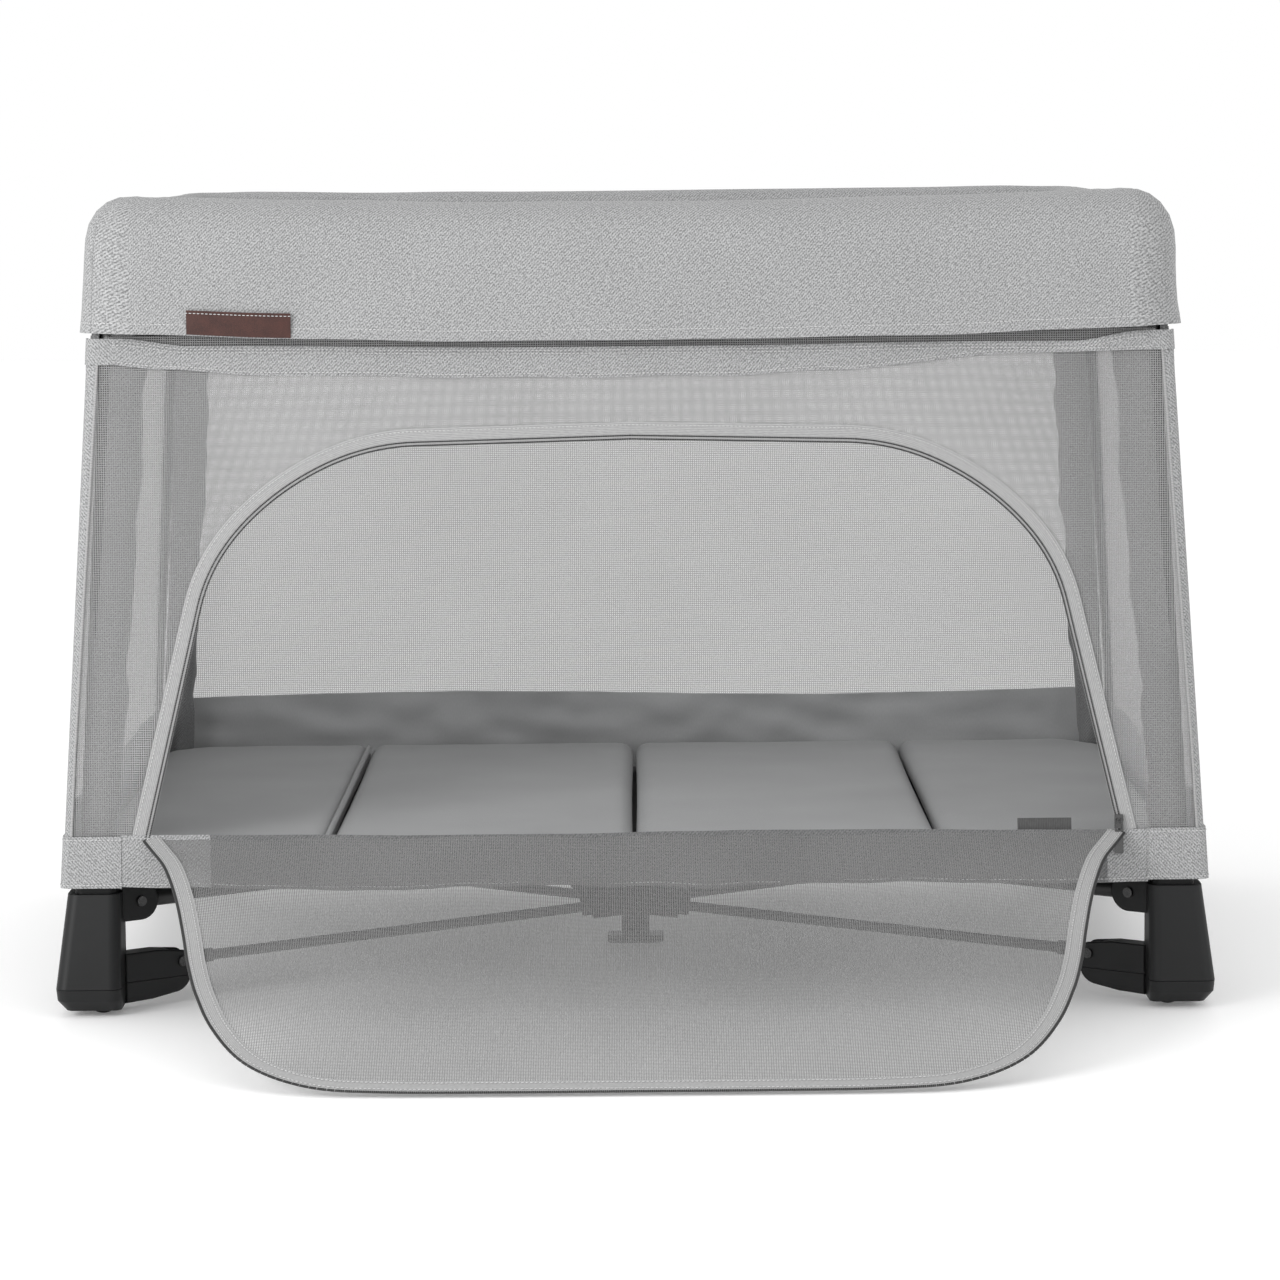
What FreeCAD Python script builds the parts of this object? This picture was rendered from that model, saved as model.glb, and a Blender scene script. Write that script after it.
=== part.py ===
"""A folding playpen, in millimetres. +Z is up, the front is -Y, and the origin is on the floor under
the centre hub. Corners are named by front/rear and left/right: fl, fr, rl, rr. Each corner's pieces
are drawn once, in the quadrant where X and Y are positive (rr), and mirrored to the others."""
import FreeCAD, Part
import math
import os

Vec = FreeCAD.Vector
ORIGIN = Vec(0, 0, 0)
CORNERS = {"fl": (-1, -1), "fr": (1, -1), "rl": (-1, 1), "rr": (1, 1)}

# under-frame linkage: every strut lies in a vertical plane through a diagonal of the floor
DIAGONAL = 34.9          # angle of that plane from the X axis, degrees
HUB_LOWER_R = 48.8       # distance of the pivots from the hub's axis
HUB_UPPER_R = 91.4
STRUT = 481.6            # pivot to pivot
LOWER_Z = 41.0
UPPER_Z = 103.0
LOWER_TUBE_R = 5.0
UPPER_TUBE_R = 6.0
COLLAR_R = (6.6, 8.2)    # of the collars at the foot ends of a lower and an upper strut
HUB_COLLAR_R = 6.9       # of an upper strut's collar at the hub
STRUT_WALL = 1.2
EYE_R = 8.0
EYE_HALF = 6.7           # half the width of every pivot eye
GAP_HALF = 7.2           # half the gap between the cheeks that hold an eye
CHEEK = 4.0
PIN_R = 3.0
RUN = 0.08               # radial clearance of a running pivot
LOOSE = 1.0              # radial clearance where the closed linkage is left open
FIT = 0.1                # clearance between pieces that are fixed together

# feet
FOOT_OUT = (540.0, 384.0)
FOOT_SIDE = 61.0
FOOT_DRAFT = 11.5        # the outer faces lean in by this much up to the shell's top
FOOT_EDGE_R = 11.0
CAP_BOTTOM = 6.0
CAP_TOP = 26.5
SHELL_BOTTOM = 27.0      # the parting line between shell and cap
ARM_TOP = (50.0, 54.0)   # of the lower arm, at its end and at the column
ARM_REACH = 10.0         # the arm and lug go this far past their pivots
LUG_R = 18.0
SIDE_EDGE = 2.0
SHELL_TOP = 115.0
NECK_TOP = 150.0
NECK_OUT = (522.0, 366.0)
NECK_SIDE = 39.0
SHELL_WALL = 4.0
CASTER = (499.0, 350.0)
WHEEL_R = 15.0
WHEEL_HALF = 6.0
AXLE_R = 2.0
GLIDE_STEM_R = 6.0

# centre hub
HUB_CORE = (31.0, 21.0)
HUB_Z = (30.0, 115.0)
HUB_PLATE = (86.0, 62.0)
HUB_PLATE_Z = (115.4, 122.0)
HUB_PLATE_R = 24.0
CENTRE_FOOT = (29.0, 16.0, 7.0)      # half length, half width, height of its base
STEM_R = 10.0

# posts and top corners
POST_R = 10.0
POST_WALL = 1.5
POST_FOOT = Vec(507.8, 351.8, 34)
POST_HEAD = Vec(478.4, 322.4, 720)
TOP_OUT = (499.0, 342.0)
TOP_SIDE = 44.0
TOP_EDGE_R = 34.0
TOP_Z = (676.0, 726.0)
SLEEVE_Z = 650.0
SLEEVE_R = 12.5

# top rails
RAIL_Z = 700.0
LONG_Y = 322.0           # plane of the long rails
SHORT_X = 478.0          # plane of the short rails
LONG_PIVOTS = (450.0, 55.0)
SHORT_PIVOTS = (296.0, 20.5)
RAIL_R = 10.0
RAIL_WALL = 1.5
RAIL_EYE_R = 7.0
PLUG = 34.0              # from a pivot to where the rail's full tube starts
BLOCK_Z = (624.0, 724.0)
BLOCK_HALF_T = 12.0
LONG_BLOCK_HALF = 70.0
SHORT_BLOCK_HALF = 36.0

# fabric enclosure: the walls lean in towards the top
WALL_LOW = (527.0, 371.0, 150.0)     # half length, half width, height
WALL_HIGH = (498.0, 340.0, 610.0)
WALL_T = 1.6
WALL_Z = (118.0, 634.0)
CORNER_GAP = 3.0
HEM_Z = 636.0
COVER_TOP = 762.0
COVER_OUT = (504.0, 347.0)
COVER_DEEP = 56.0
COVER_CAVITY_TOP = 728.0
COVER_R = 40.0
COVER_SPLIT = 0.5        # gap between the cover's convex lengths
FLOOR_Z = (125.0, 128.0)
FLOOR_HALF = (522.0, 362.0)

# door: an arch in the front wall, and the flap that closes it
DOOR_SILL = 168.0
DOOR_HALF = 455.0
ARCH_R = 210.0
ARCH_CENTRE = (200.0, 333.0)
FLAP_INSET = 2.0
FLAP_T = 3.0
FLAP_START = 4.0
FLAP_BASE_HALF = 440.0
FLAP_DROOP = 26.0        # how far the open flap slopes below the horizontal, degrees
HINGE = Vec(0, -370.5, 167)

# zip slider and pull on the right-hand lower end of the door's zip
SLIDER = Vec(450.0, -372.6, 176.0)
SLIDER_SIZE = (8.0, 4.0, 13.0)
PULL_SIZE = (8.0, 1.5, 30.0)
PULL_PIN_R = 0.9

# mattress
SEAMS = (-512.0, -288.0, 0.0, 288.0, 512.0)
MATTRESS_HALF_W = 340.0
MATTRESS_CUT = 50.0
MATTRESS_Z = (130.0, 160.0)
SEAM_GAP = 2.0

# leather tag on the front hem
TAG_X = (-407.0, -311.0)
TAG_Z = (637.0, 660.0)
TAG_T = 1.2


def box(x, y, z):
    """A box from three (low, high) pairs."""
    return Part.makeBox(x[1] - x[0], y[1] - y[0], z[1] - z[0], Vec(x[0], y[0], z[0]))


def rod(start, end, radius):
    return Part.makeCylinder(radius, (end - start).Length, start, end - start)


def pin_across(r, z, radius, half):
    """A cylinder across a diagonal's plane, in the diagonal's own frame (r along X)."""
    return rod(Vec(r, -half, z), Vec(r, half, z), radius)


def fillet(shape, radius, wanted):
    return shape.makeFillet(radius, [e for e in shape.Edges if wanted(e)])


def is_vertical(edge):
    a, b = (v.Point for v in (edge.Vertexes[0], edge.Vertexes[-1]))
    return abs(a.x - b.x) < 0.01 and abs(a.y - b.y) < 0.01 and abs(a.z - b.z) > 1


def rounded_rectangle(x, y, z, radius):
    """A closed wire at height z, its corners rounded."""
    face = Part.makePlane(x[1] - x[0], y[1] - y[0], Vec(x[0], y[0], z))
    block = fillet(face.extrude(Vec(0, 0, 10)), radius, is_vertical)
    low = min(block.Faces, key=lambda f: f.CenterOfMass.z)
    return low.OuterWire


def drafted(low, high):
    """A solid between two rounded rectangles, each (x pair, y pair, z, radius)."""
    return Part.makeLoft([rounded_rectangle(*low), rounded_rectangle(*high)], True, True)


def prism(points, direction):
    """A flat outline of points, extruded."""
    wire = Part.makePolygon(list(points) + [points[0]])
    return Part.Face(wire).extrude(direction)


def to_diagonal(shape):
    return shape.rotated(ORIGIN, Vec(0, 0, 1), DIAGONAL)


def to_corner(shape, corner):
    """Mirror a shape drawn in the rr quadrant to another corner."""
    sx, sy = CORNERS[corner]
    if sx < 0:
        shape = shape.mirror(ORIGIN, Vec(1, 0, 0))
    if sy < 0:
        shape = shape.mirror(ORIGIN, Vec(0, 1, 0))
    return shape


def post_at(z):
    """The post's axis at height z."""
    t = (z - POST_FOOT.z) / (POST_HEAD.z - POST_FOOT.z)
    return POST_FOOT + (POST_HEAD - POST_FOOT) * t


def wall_half(z, side):
    """Half length (side 0) or half width (side 1) of the enclosure's outer face at height z."""
    t = (z - WALL_LOW[2]) / (WALL_HIGH[2] - WALL_LOW[2])
    return WALL_LOW[side] + (WALL_HIGH[side] - WALL_LOW[side]) * t


# ---------------------------------------------------------------- feet

def cheeks(outline):
    """Two plates either side of a pivot's gap, from an outline of (r, z) points."""
    plates = []
    for low in (-GAP_HALF - CHEEK, GAP_HALF):
        points = [Vec(r, low, z) for r, z in outline]
        plates.append(prism(points, Vec(0, CHEEK, 0)))
    return plates


def lower_arm(z):
    """The foot's boot-shaped arm, cut to the height range z: level on top and rising to a round end."""
    end = HUB_LOWER_R + STRUT - ARM_REACH
    half = GAP_HALF + CHEEK
    outline = [(590, CAP_BOTTOM + 1), (end + 42, CAP_BOTTOM + 2), (end, CAP_BOTTOM + 8),
               (end, ARM_TOP[0]), (end + 34, ARM_TOP[1]), (590, ARM_TOP[1])]
    arm = prism([Vec(r, -half, h) for r, h in outline], Vec(0, 2 * half, 0))
    for height, radius in ((CAP_BOTTOM + 8, 18.0), (ARM_TOP[0], 9.0)):
        edge = [e for e in arm.Edges if abs(e.CenterOfMass.x - end) < 0.1
                and abs(e.CenterOfMass.z - height) < 0.1]
        arm = arm.makeFillet(radius, edge)
    sides = [e for e in arm.Edges if abs(abs(e.CenterOfMass.y) - half) < 0.01]
    arm = arm.makeFillet(SIDE_EDGE, sides)
    return to_diagonal(arm.common(box((end - 5, 600), (-half - 1, half + 1), z)))


def upper_lug():
    """The round-ended lug over the arm, with a short square neck where the strut leaves it."""
    pivot_r, half = HUB_UPPER_R + STRUT, GAP_HALF + CHEEK
    lug = rod(Vec(pivot_r, -half, UPPER_Z), Vec(pivot_r, half, UPPER_Z), LUG_R)
    lug = lug.fuse(box((pivot_r, 600), (-half, half), (UPPER_Z - LUG_R, SHELL_TOP + 3)))
    return to_diagonal(lug)


def foot_column():
    """The foot's upright body, leaning in on its outer sides."""
    low = [(out - FOOT_SIDE, out) for out in FOOT_OUT]
    high = [(out - FOOT_SIDE, out - FOOT_DRAFT) for out in FOOT_OUT]
    return drafted((*low, SHELL_BOTTOM, FOOT_EDGE_R), (*high, SHELL_TOP, FOOT_EDGE_R))


def foot_shell():
    foot_r = HUB_LOWER_R + STRUT
    lug_r = HUB_UPPER_R + STRUT
    neck = [(out - NECK_SIDE, out) for out in NECK_OUT]
    shell = foot_column().fuse(
        drafted((*neck, SHELL_TOP - 1, 8.0), (*neck, NECK_TOP, 8.0)))
    shell = shell.fuse(lower_arm((SHELL_BOTTOM, ARM_TOP[1] + 1))).fuse(upper_lug())
    arm_gap = box((foot_r - 30, foot_r + 12), (-GAP_HALF, GAP_HALF), (LOWER_Z - EYE_R - 1.5, 70))
    lug_gap = box((lug_r - 30, lug_r + 11), (-GAP_HALF, GAP_HALF), (UPPER_Z - EYE_R - 2, NECK_TOP + 1))
    shell = shell.cut(to_diagonal(arm_gap)).cut(to_diagonal(lug_gap))
    cavity = [(out - FOOT_SIDE + SHELL_WALL, out - SHELL_WALL - 2) for out in FOOT_OUT]
    shell = shell.cut(box(*cavity, (SHELL_BOTTOM - 1, 40)))
    shell = shell.cut(rod(post_at(POST_FOOT.z - 1), post_at(NECK_TOP + 5), POST_R + FIT))
    for r, z in ((foot_r, LOWER_Z), (lug_r, UPPER_Z)):
        shell = shell.cut(to_diagonal(pin_across(r, z, PIN_R + FIT, 30)))
    return shell


def foot_cap(has_wheel):
    """The foot's base, under the parting line, with a pocket for its wheel or a hole for its glide."""
    ends = [(out - FOOT_SIDE, out) for out in FOOT_OUT]
    low = [(out - FOOT_SIDE + 1, out - 9) for out in FOOT_OUT]
    middle = (*[(out - FOOT_SIDE, out - 1) for out in FOOT_OUT], CAP_BOTTOM + 10, FOOT_EDGE_R)
    cap = drafted((*low, CAP_BOTTOM, FOOT_EDGE_R - 4), middle)
    cap = cap.fuse(drafted(middle, (*ends, CAP_TOP, FOOT_EDGE_R)))
    cap = cap.fuse(lower_arm((CAP_BOTTOM, CAP_TOP)))
    cx, cy = CASTER
    if not has_wheel:
        return cap.cut(rod(Vec(cx, cy, 0), Vec(cx, cy, 21), GLIDE_STEM_R + FIT))
    half_x, half_y = WHEEL_R + 1.5, WHEEL_HALF + 1
    cap = cap.cut(box((cx - half_x, cx + half_x), (cy - half_y, cy + half_y), (0, 30)))
    return cap.cut(rod(Vec(cx, cy - 16, WHEEL_R), Vec(cx, cy + 16, WHEEL_R), AXLE_R + FIT))


def wheel():
    cx, cy = CASTER
    low, high = Vec(cx, cy - WHEEL_HALF, WHEEL_R), Vec(cx, cy + WHEEL_HALF, WHEEL_R)
    tread = rod(low, high, WHEEL_R)
    tread = tread.makeFillet(1.5, [e for e in tread.Edges if e.Closed])
    return tread.cut(rod(low, high, AXLE_R + RUN))


def glide():
    cx, cy = CASTER
    dome = Part.makeSphere(WHEEL_R, Vec(cx, cy, WHEEL_R))
    dome = dome.common(box((cx - 20, cx + 20), (cy - 20, cy + 20), (0, CAP_BOTTOM - FIT)))
    return dome.fuse(rod(Vec(cx, cy, CAP_BOTTOM - 2), Vec(cx, cy, 20), GLIDE_STEM_R))


def bolt(r, z, head_r):
    """A pivot bolt through two cheeks: shank, round head and a smaller riveted end."""
    reach = GAP_HALF + CHEEK
    shank = pin_across(r, z, PIN_R, reach + 2.4)
    head = rod(Vec(r, reach + 0.2, z), Vec(r, reach + 2.7, z), head_r)
    end = rod(Vec(r, -reach - 2.2, z), Vec(r, -reach - 0.2, z), PIN_R + 1.5)
    return to_diagonal(shank.fuse(head).fuse(end))


def rail_pin(centre, along):
    """A plain pin through a rail's eye, along Y for a long rail and along X for a short one."""
    half = along * (GAP_HALF + CHEEK + 0.5)
    return rod(centre - half, centre + half, PIN_R)


def leg_pins(has_wheel):
    pins = [bolt(HUB_LOWER_R + STRUT, LOWER_Z, 4.75), bolt(HUB_UPPER_R + STRUT, UPPER_Z, 4.75)]
    pins.append(rail_pin(Vec(LONG_PIVOTS[0], LONG_Y, RAIL_Z), Vec(0, 1, 0)))
    pins.append(rail_pin(Vec(SHORT_X, SHORT_PIVOTS[0], RAIL_Z), Vec(1, 0, 0)))
    if has_wheel:
        cx, cy = CASTER
        pins.append(rod(Vec(cx, cy - 15, WHEEL_R), Vec(cx, cy + 15, WHEEL_R), AXLE_R))
    return Part.makeCompound(pins)


# ---------------------------------------------------------------- posts, top corners, rails

def post():
    outer = rod(POST_FOOT, POST_HEAD, POST_R)
    inner = rod(post_at(POST_FOOT.z - 1), post_at(POST_HEAD.z + 1), POST_R - POST_WALL)
    return outer.cut(inner)


def top_corner():
    x, y = TOP_OUT
    block = box((x - TOP_SIDE, x), (y - TOP_SIDE, y), TOP_Z)
    outer_edge = [e for e in block.Edges if is_vertical(e) and e.CenterOfMass.x > x - 1
                  and e.CenterOfMass.y > y - 1]
    block = block.makeFillet(TOP_EDGE_R, outer_edge)
    block = block.fuse(rod(post_at(SLEEVE_Z), post_at(TOP_Z[0] + 5), SLEEVE_R))
    long_pivot = Vec(LONG_PIVOTS[0], LONG_Y, RAIL_Z)
    short_pivot = Vec(SHORT_X, SHORT_PIVOTS[0], RAIL_Z)
    inner_x, inner_y = x - TOP_SIDE, y - TOP_SIDE
    reach, height = RAIL_EYE_R + 3, (RAIL_Z - 12, RAIL_Z + 12)
    for low in (-GAP_HALF - CHEEK, GAP_HALF):
        block = block.fuse(box((long_pivot.x - reach, inner_x + 2),
                               (LONG_Y + low, LONG_Y + low + CHEEK), height))
        block = block.fuse(box((SHORT_X + low, SHORT_X + low + CHEEK),
                               (short_pivot.y - reach, inner_y + 2), height))
    room = RAIL_EYE_R + 2.5
    block = block.cut(box((long_pivot.x - room, long_pivot.x + room),
                          (LONG_Y - GAP_HALF, LONG_Y + GAP_HALF), (TOP_Z[0] - 1, RAIL_Z + room)))
    block = block.cut(box((SHORT_X - GAP_HALF, SHORT_X + GAP_HALF),
                          (short_pivot.y - room, short_pivot.y + room), (TOP_Z[0] - 1, RAIL_Z + room)))
    reach_out = GAP_HALF + CHEEK + 2
    block = block.cut(rod(long_pivot - Vec(0, reach_out, 0), long_pivot + Vec(0, reach_out, 0),
                          PIN_R + FIT))
    block = block.cut(rod(short_pivot - Vec(reach_out, 0, 0), short_pivot + Vec(reach_out, 0, 0),
                          PIN_R + FIT))
    return block.cut(rod(post_at(SLEEVE_Z - 5), post_at(POST_HEAD.z + 1), POST_R + FIT))


def half_rail(corner_pivot, centre_pivot, across, centre_clearance):
    """A rail from its corner pivot to its centre pivot: a tube with a flat plug and eye at each end.
    across is the direction of the pins."""
    along = (centre_pivot - corner_pivot).normalize()
    start, end = corner_pivot + along * PLUG, centre_pivot - along * PLUG
    rail = rod(start, end, RAIL_R).cut(rod(start + along * 8, end - along * 8, RAIL_R - RAIL_WALL))
    for pivot, inward, clearance in ((corner_pivot, along, RUN), (centre_pivot, -along, centre_clearance)):
        eye = rod(pivot - across * EYE_HALF, pivot + across * EYE_HALF, RAIL_EYE_R)
        corner = pivot - across * EYE_HALF - Vec(0, 0, RAIL_EYE_R)
        tall = Vec(0, 0, 2 * RAIL_EYE_R)
        outline = [corner, corner + across * 2 * EYE_HALF, corner + across * 2 * EYE_HALF + tall,
                   corner + tall]
        plug = prism(outline, inward * (PLUG + 4))
        rail = rail.fuse(eye).fuse(plug)
        reach = across * (EYE_HALF + 1)
        rail = rail.cut(rod(pivot - reach, pivot + reach, PIN_R + clearance))
    return rail


def centre_block(middle, along, across, half, pivot):
    """The hinge block in the middle of a rail, with a slot for each half rail's eye, and its two pins.
    along is the rail's direction and across the direction of the pins."""
    low = middle - along * half - across * BLOCK_HALF_T
    outline = [low, low + along * 2 * half, low + along * 2 * half + across * 2 * BLOCK_HALF_T,
               low + across * 2 * BLOCK_HALF_T]
    base = [Vec(p.x, p.y, BLOCK_Z[0]) for p in outline]
    block = fillet(prism(base, Vec(0, 0, BLOCK_Z[1] - BLOCK_Z[0])), 4.0, is_vertical)
    pins = []
    for side in (-1, 1):
        centre = middle + along * (side * pivot)
        slot_in = centre - along * (side * (RAIL_EYE_R + 2)) - across * GAP_HALF
        corner = Vec(slot_in.x, slot_in.y, RAIL_Z - RAIL_EYE_R - 2)
        run = along * (side * (half - pivot + RAIL_EYE_R + 4))
        slot = prism([corner, corner + run, corner + run + across * 2 * GAP_HALF,
                      corner + across * 2 * GAP_HALF], Vec(0, 0, 60))
        block = block.cut(slot)
        block = block.cut(rod(centre - across * 20, centre + across * 20, PIN_R + FIT))
        pins.append(rod(centre - across * (BLOCK_HALF_T - 1), centre + across * (BLOCK_HALF_T - 1), PIN_R))
    return Part.makeCompound([block, *pins])


# ---------------------------------------------------------------- struts and hub

def strut(inner_r, z, tube_r, foot_clearance, collars):
    """A strut along r, from its hub pivot to its foot pivot. collars are (low r, high r, radius)."""
    outer_r = inner_r + STRUT
    tube = rod(Vec(inner_r + 4, 0, z), Vec(outer_r - 4, 0, z), tube_r)
    tube = tube.cut(rod(Vec(inner_r + 12, 0, z), Vec(outer_r - 12, 0, z), tube_r - STRUT_WALL))
    for r in (inner_r, outer_r):
        tube = tube.fuse(pin_across(r, z, EYE_R, EYE_HALF))
    for low, high, radius in collars:
        sleeve = rod(Vec(low, 0, z), Vec(high, 0, z), radius)
        bore = rod(Vec(low - 1, 0, z), Vec(high + 1, 0, z), tube_r - STRUT_WALL / 2)
        tube = tube.fuse(sleeve.cut(bore))
    tube = tube.cut(pin_across(inner_r, z, PIN_R + RUN, 20))
    tube = tube.cut(pin_across(outer_r, z, PIN_R + foot_clearance, 20))
    return to_diagonal(tube)


def lower_strut():
    end = HUB_LOWER_R + STRUT - 14
    return strut(HUB_LOWER_R, LOWER_Z, LOWER_TUBE_R, RUN, [(end - 24, end, COLLAR_R[0])])


def upper_strut():
    start = HUB_UPPER_R + 14
    end = HUB_UPPER_R + STRUT - LUG_R - 2
    collars = [(start, start + 28, HUB_COLLAR_R), (end - 34, end, COLLAR_R[1])]
    return strut(HUB_UPPER_R, UPPER_Z, UPPER_TUBE_R, LOOSE, collars)


def hub_housing():
    """A core with four diagonal arms, wide at the top and narrow at the bottom."""
    core = box((-HUB_CORE[0], HUB_CORE[0]), (-HUB_CORE[1], HUB_CORE[1]), HUB_Z)
    outline = [(20, HUB_Z[0]), (HUB_LOWER_R + 9, HUB_Z[0]), (HUB_LOWER_R + 12, LOWER_Z + 10),
               (HUB_UPPER_R + 9, UPPER_Z - 14), (HUB_UPPER_R + 11, UPPER_Z), (HUB_UPPER_R + 11, HUB_Z[1]),
               (20, HUB_Z[1])]
    arms = [to_diagonal(plate) for plate in cheeks(outline)]
    housing = core
    for corner in CORNERS:
        for arm in arms:
            housing = housing.fuse(to_corner(arm, corner))
    holes = [pin_across(HUB_LOWER_R, LOWER_Z, PIN_R + FIT, 25),
             pin_across(HUB_UPPER_R, UPPER_Z, PIN_R + FIT, 25)]
    gap = box((HUB_LOWER_R - EYE_R - 1.5, 130), (-GAP_HALF, GAP_HALF), (HUB_Z[0] - 1, HUB_Z[1] + 1))
    for corner in CORNERS:
        for cut in (*holes, gap):
            housing = housing.cut(to_corner(to_diagonal(cut), corner))
    stem = rod(Vec(0, 0, HUB_Z[0] - 1), Vec(0, 0, HUB_Z[0] + 22), STEM_R + FIT)
    return housing.cut(stem)


def hub_cover():
    plate = box((-HUB_PLATE[0], HUB_PLATE[0]), (-HUB_PLATE[1], HUB_PLATE[1]), HUB_PLATE_Z)
    plate = fillet(plate, HUB_PLATE_R, is_vertical)
    return plate.makeFillet(2.0, [e for e in plate.Edges if e.CenterOfMass.z > HUB_PLATE_Z[1] - 0.1])


def hub_pins():
    half = GAP_HALF + CHEEK + 0.6
    pins = []
    for corner in CORNERS:
        for r, z in ((HUB_LOWER_R, LOWER_Z), (HUB_UPPER_R, UPPER_Z)):
            pins.append(to_corner(to_diagonal(pin_across(r, z, PIN_R, half)), corner))
    return Part.makeCompound(pins)


def centre_foot():
    half_x, half_y, high = CENTRE_FOOT
    plate = fillet(box((-half_x, half_x), (-half_y, half_y), (0, high)), 9.0, is_vertical)
    collar = rod(Vec(0, 0, high - 1), Vec(0, 0, HUB_Z[0] - 1), STEM_R + 4)
    return plate.fuse(collar).fuse(rod(Vec(0, 0, high + 10), Vec(0, 0, HUB_Z[0] + 20), STEM_R))


# ---------------------------------------------------------------- fabric

def lean_angle():
    return math.degrees(math.atan2(WALL_LOW[1] - WALL_HIGH[1], WALL_HIGH[2] - WALL_LOW[2]))


def leaning_slab(side, sign, cut=None):
    """A wall as a thin slab that leans in: side 1 is a front or rear wall, side 0 a left or right one.
    sign says which of the two. cut is a solid to take out of it."""
    outline = []
    for z, ends in ((WALL_Z[0], (-1, 1)), (WALL_Z[1], (1, -1))):
        for end in ends:
            across = end * (wall_half(z, 1 - side) - CORNER_GAP)
            out = sign * wall_half(z, side)
            outline.append(Vec(across, out, z) if side == 1 else Vec(out, across, z))
    inward = Vec(0, -sign * WALL_T, 0) if side == 1 else Vec(-sign * WALL_T, 0, 0)
    slab = prism(outline, inward)
    return slab.cut(cut) if cut else slab


def arch_tangent(half, centre, radius, sill):
    """Where the line up from the sill's end touches the arch's corner circle."""
    dx, dz = half - centre[0], sill - centre[1]
    turn = math.atan2(dz, dx) + math.acos(radius / math.hypot(dx, dz))
    return centre[0] + radius * math.cos(turn), centre[1] + radius * math.sin(turn)


def arch_edges(half, radius, sill, start=None):
    """Edges of the door's arch in the XZ plane, from the right end of the sill over to the left.
    start, if given, is (half width, height): the side is upright there until it meets the slope."""
    tx, tz = arch_tangent(half, ARCH_CENTRE, radius, sill)
    cx, cz = ARCH_CENTRE
    first = Vec(half, 0, sill)
    points = []
    if start:
        meet = sill + (half - start[0]) * (tz - sill) / (half - tx)
        points.append(Vec(start[0], 0, start[1]))
        first = Vec(start[0], 0, meet)
    points += [first, Vec(tx, 0, tz)]
    middle = math.radians(45) + math.atan2(tz - cz, tx - cx) / 2
    bend = Vec(cx + radius * math.cos(middle), 0, cz + radius * math.sin(middle))
    top = Vec(cx, 0, cz + radius)

    def flip(v):
        return Vec(-v.x, v.y, v.z)

    edges = [Part.LineSegment(a, b).toShape() for a, b in zip(points, points[1:])]
    edges.append(Part.Arc(Vec(tx, 0, tz), bend, top).toShape())
    edges.append(Part.LineSegment(top, flip(top)).toShape())
    edges.append(Part.Arc(flip(top), flip(bend), flip(Vec(tx, 0, tz))).toShape())
    back = [flip(p) for p in reversed(points)]
    edges += [Part.LineSegment(a, b).toShape() for a, b in zip(back, back[1:])]
    edges.append(Part.LineSegment(back[-1], points[0]).toShape())
    return edges


def arch_solid(edges, y, thick):
    face = Part.Face(Part.Wire(edges)).translated(Vec(0, y, 0))
    return face.extrude(Vec(0, thick, 0))


def front_wall():
    opening = arch_solid(arch_edges(DOOR_HALF, ARCH_R, DOOR_SILL), -400, 100)
    return leaning_slab(1, -1, opening)


def enclosure_walls():
    return Part.makeCompound([leaning_slab(1, 1), leaning_slab(0, -1), leaning_slab(0, 1)])


def door_flap():
    """The flap, drawn upright in the wall and turned down about its hinge line."""
    start = (FLAP_BASE_HALF, HINGE.z + FLAP_START)
    edges = arch_edges(DOOR_HALF - FLAP_INSET, ARCH_R - FLAP_INSET, DOOR_SILL, start)
    upright = arch_solid(edges, HINGE.y - FLAP_T / 2, FLAP_T)
    return upright.rotated(HINGE, Vec(1, 0, 0), 90 + FLAP_DROOP)


def top_cover():
    """A padded ring over the rails, open underneath: four corners, and for each side a roll over the
    rail, an outer skirt and an inner lining, all a small gap apart."""
    x, y = COVER_OUT
    outer = fillet(box((-x, x), (-y, y), (HEM_Z, COVER_TOP)), COVER_R, is_vertical)
    top = [e for e in outer.Edges if e.CenterOfMass.z > COVER_TOP - 0.1]
    outer = outer.makeFillet(COVER_R - 1, top)
    inner_x, inner_y = x - COVER_DEEP, y - COVER_DEEP
    outer = outer.cut(box((-inner_x, inner_x), (-inner_y, inner_y), (HEM_Z - 1, COVER_TOP + 1)))
    cavity = box((WALL_T - x, x - WALL_T), (WALL_T - y, y - WALL_T), (HEM_Z - 1, COVER_CAVITY_TOP))
    cavity = fillet(cavity, COVER_R - WALL_T, is_vertical)
    lining_x, lining_y = inner_x + WALL_T, inner_y + WALL_T
    core = box((-lining_x, lining_x), (-lining_y, lining_y), (HEM_Z - 2, COVER_TOP))
    ring = outer.cut(cavity.cut(core))
    all_x, all_y, all_z = (-x - 1, x + 1), (-y - 1, y + 1), (HEM_Z - 1, COVER_TOP + 1)
    roll_z = (COVER_CAVITY_TOP, COVER_CAVITY_TOP + COVER_SPLIT)
    for side in (-1, 1):
        ends = sorted((side * inner_x, side * (inner_x - COVER_SPLIT)))
        ring = ring.cut(box(ends, all_y, all_z))
        ends = sorted((side * inner_y, side * (inner_y - COVER_SPLIT)))
        ring = ring.cut(box(all_x, ends, all_z))
    ring = ring.cut(box((-inner_x, inner_x), all_y, roll_z))
    return ring.cut(box(all_x, (-inner_y, inner_y), roll_z))


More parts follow.
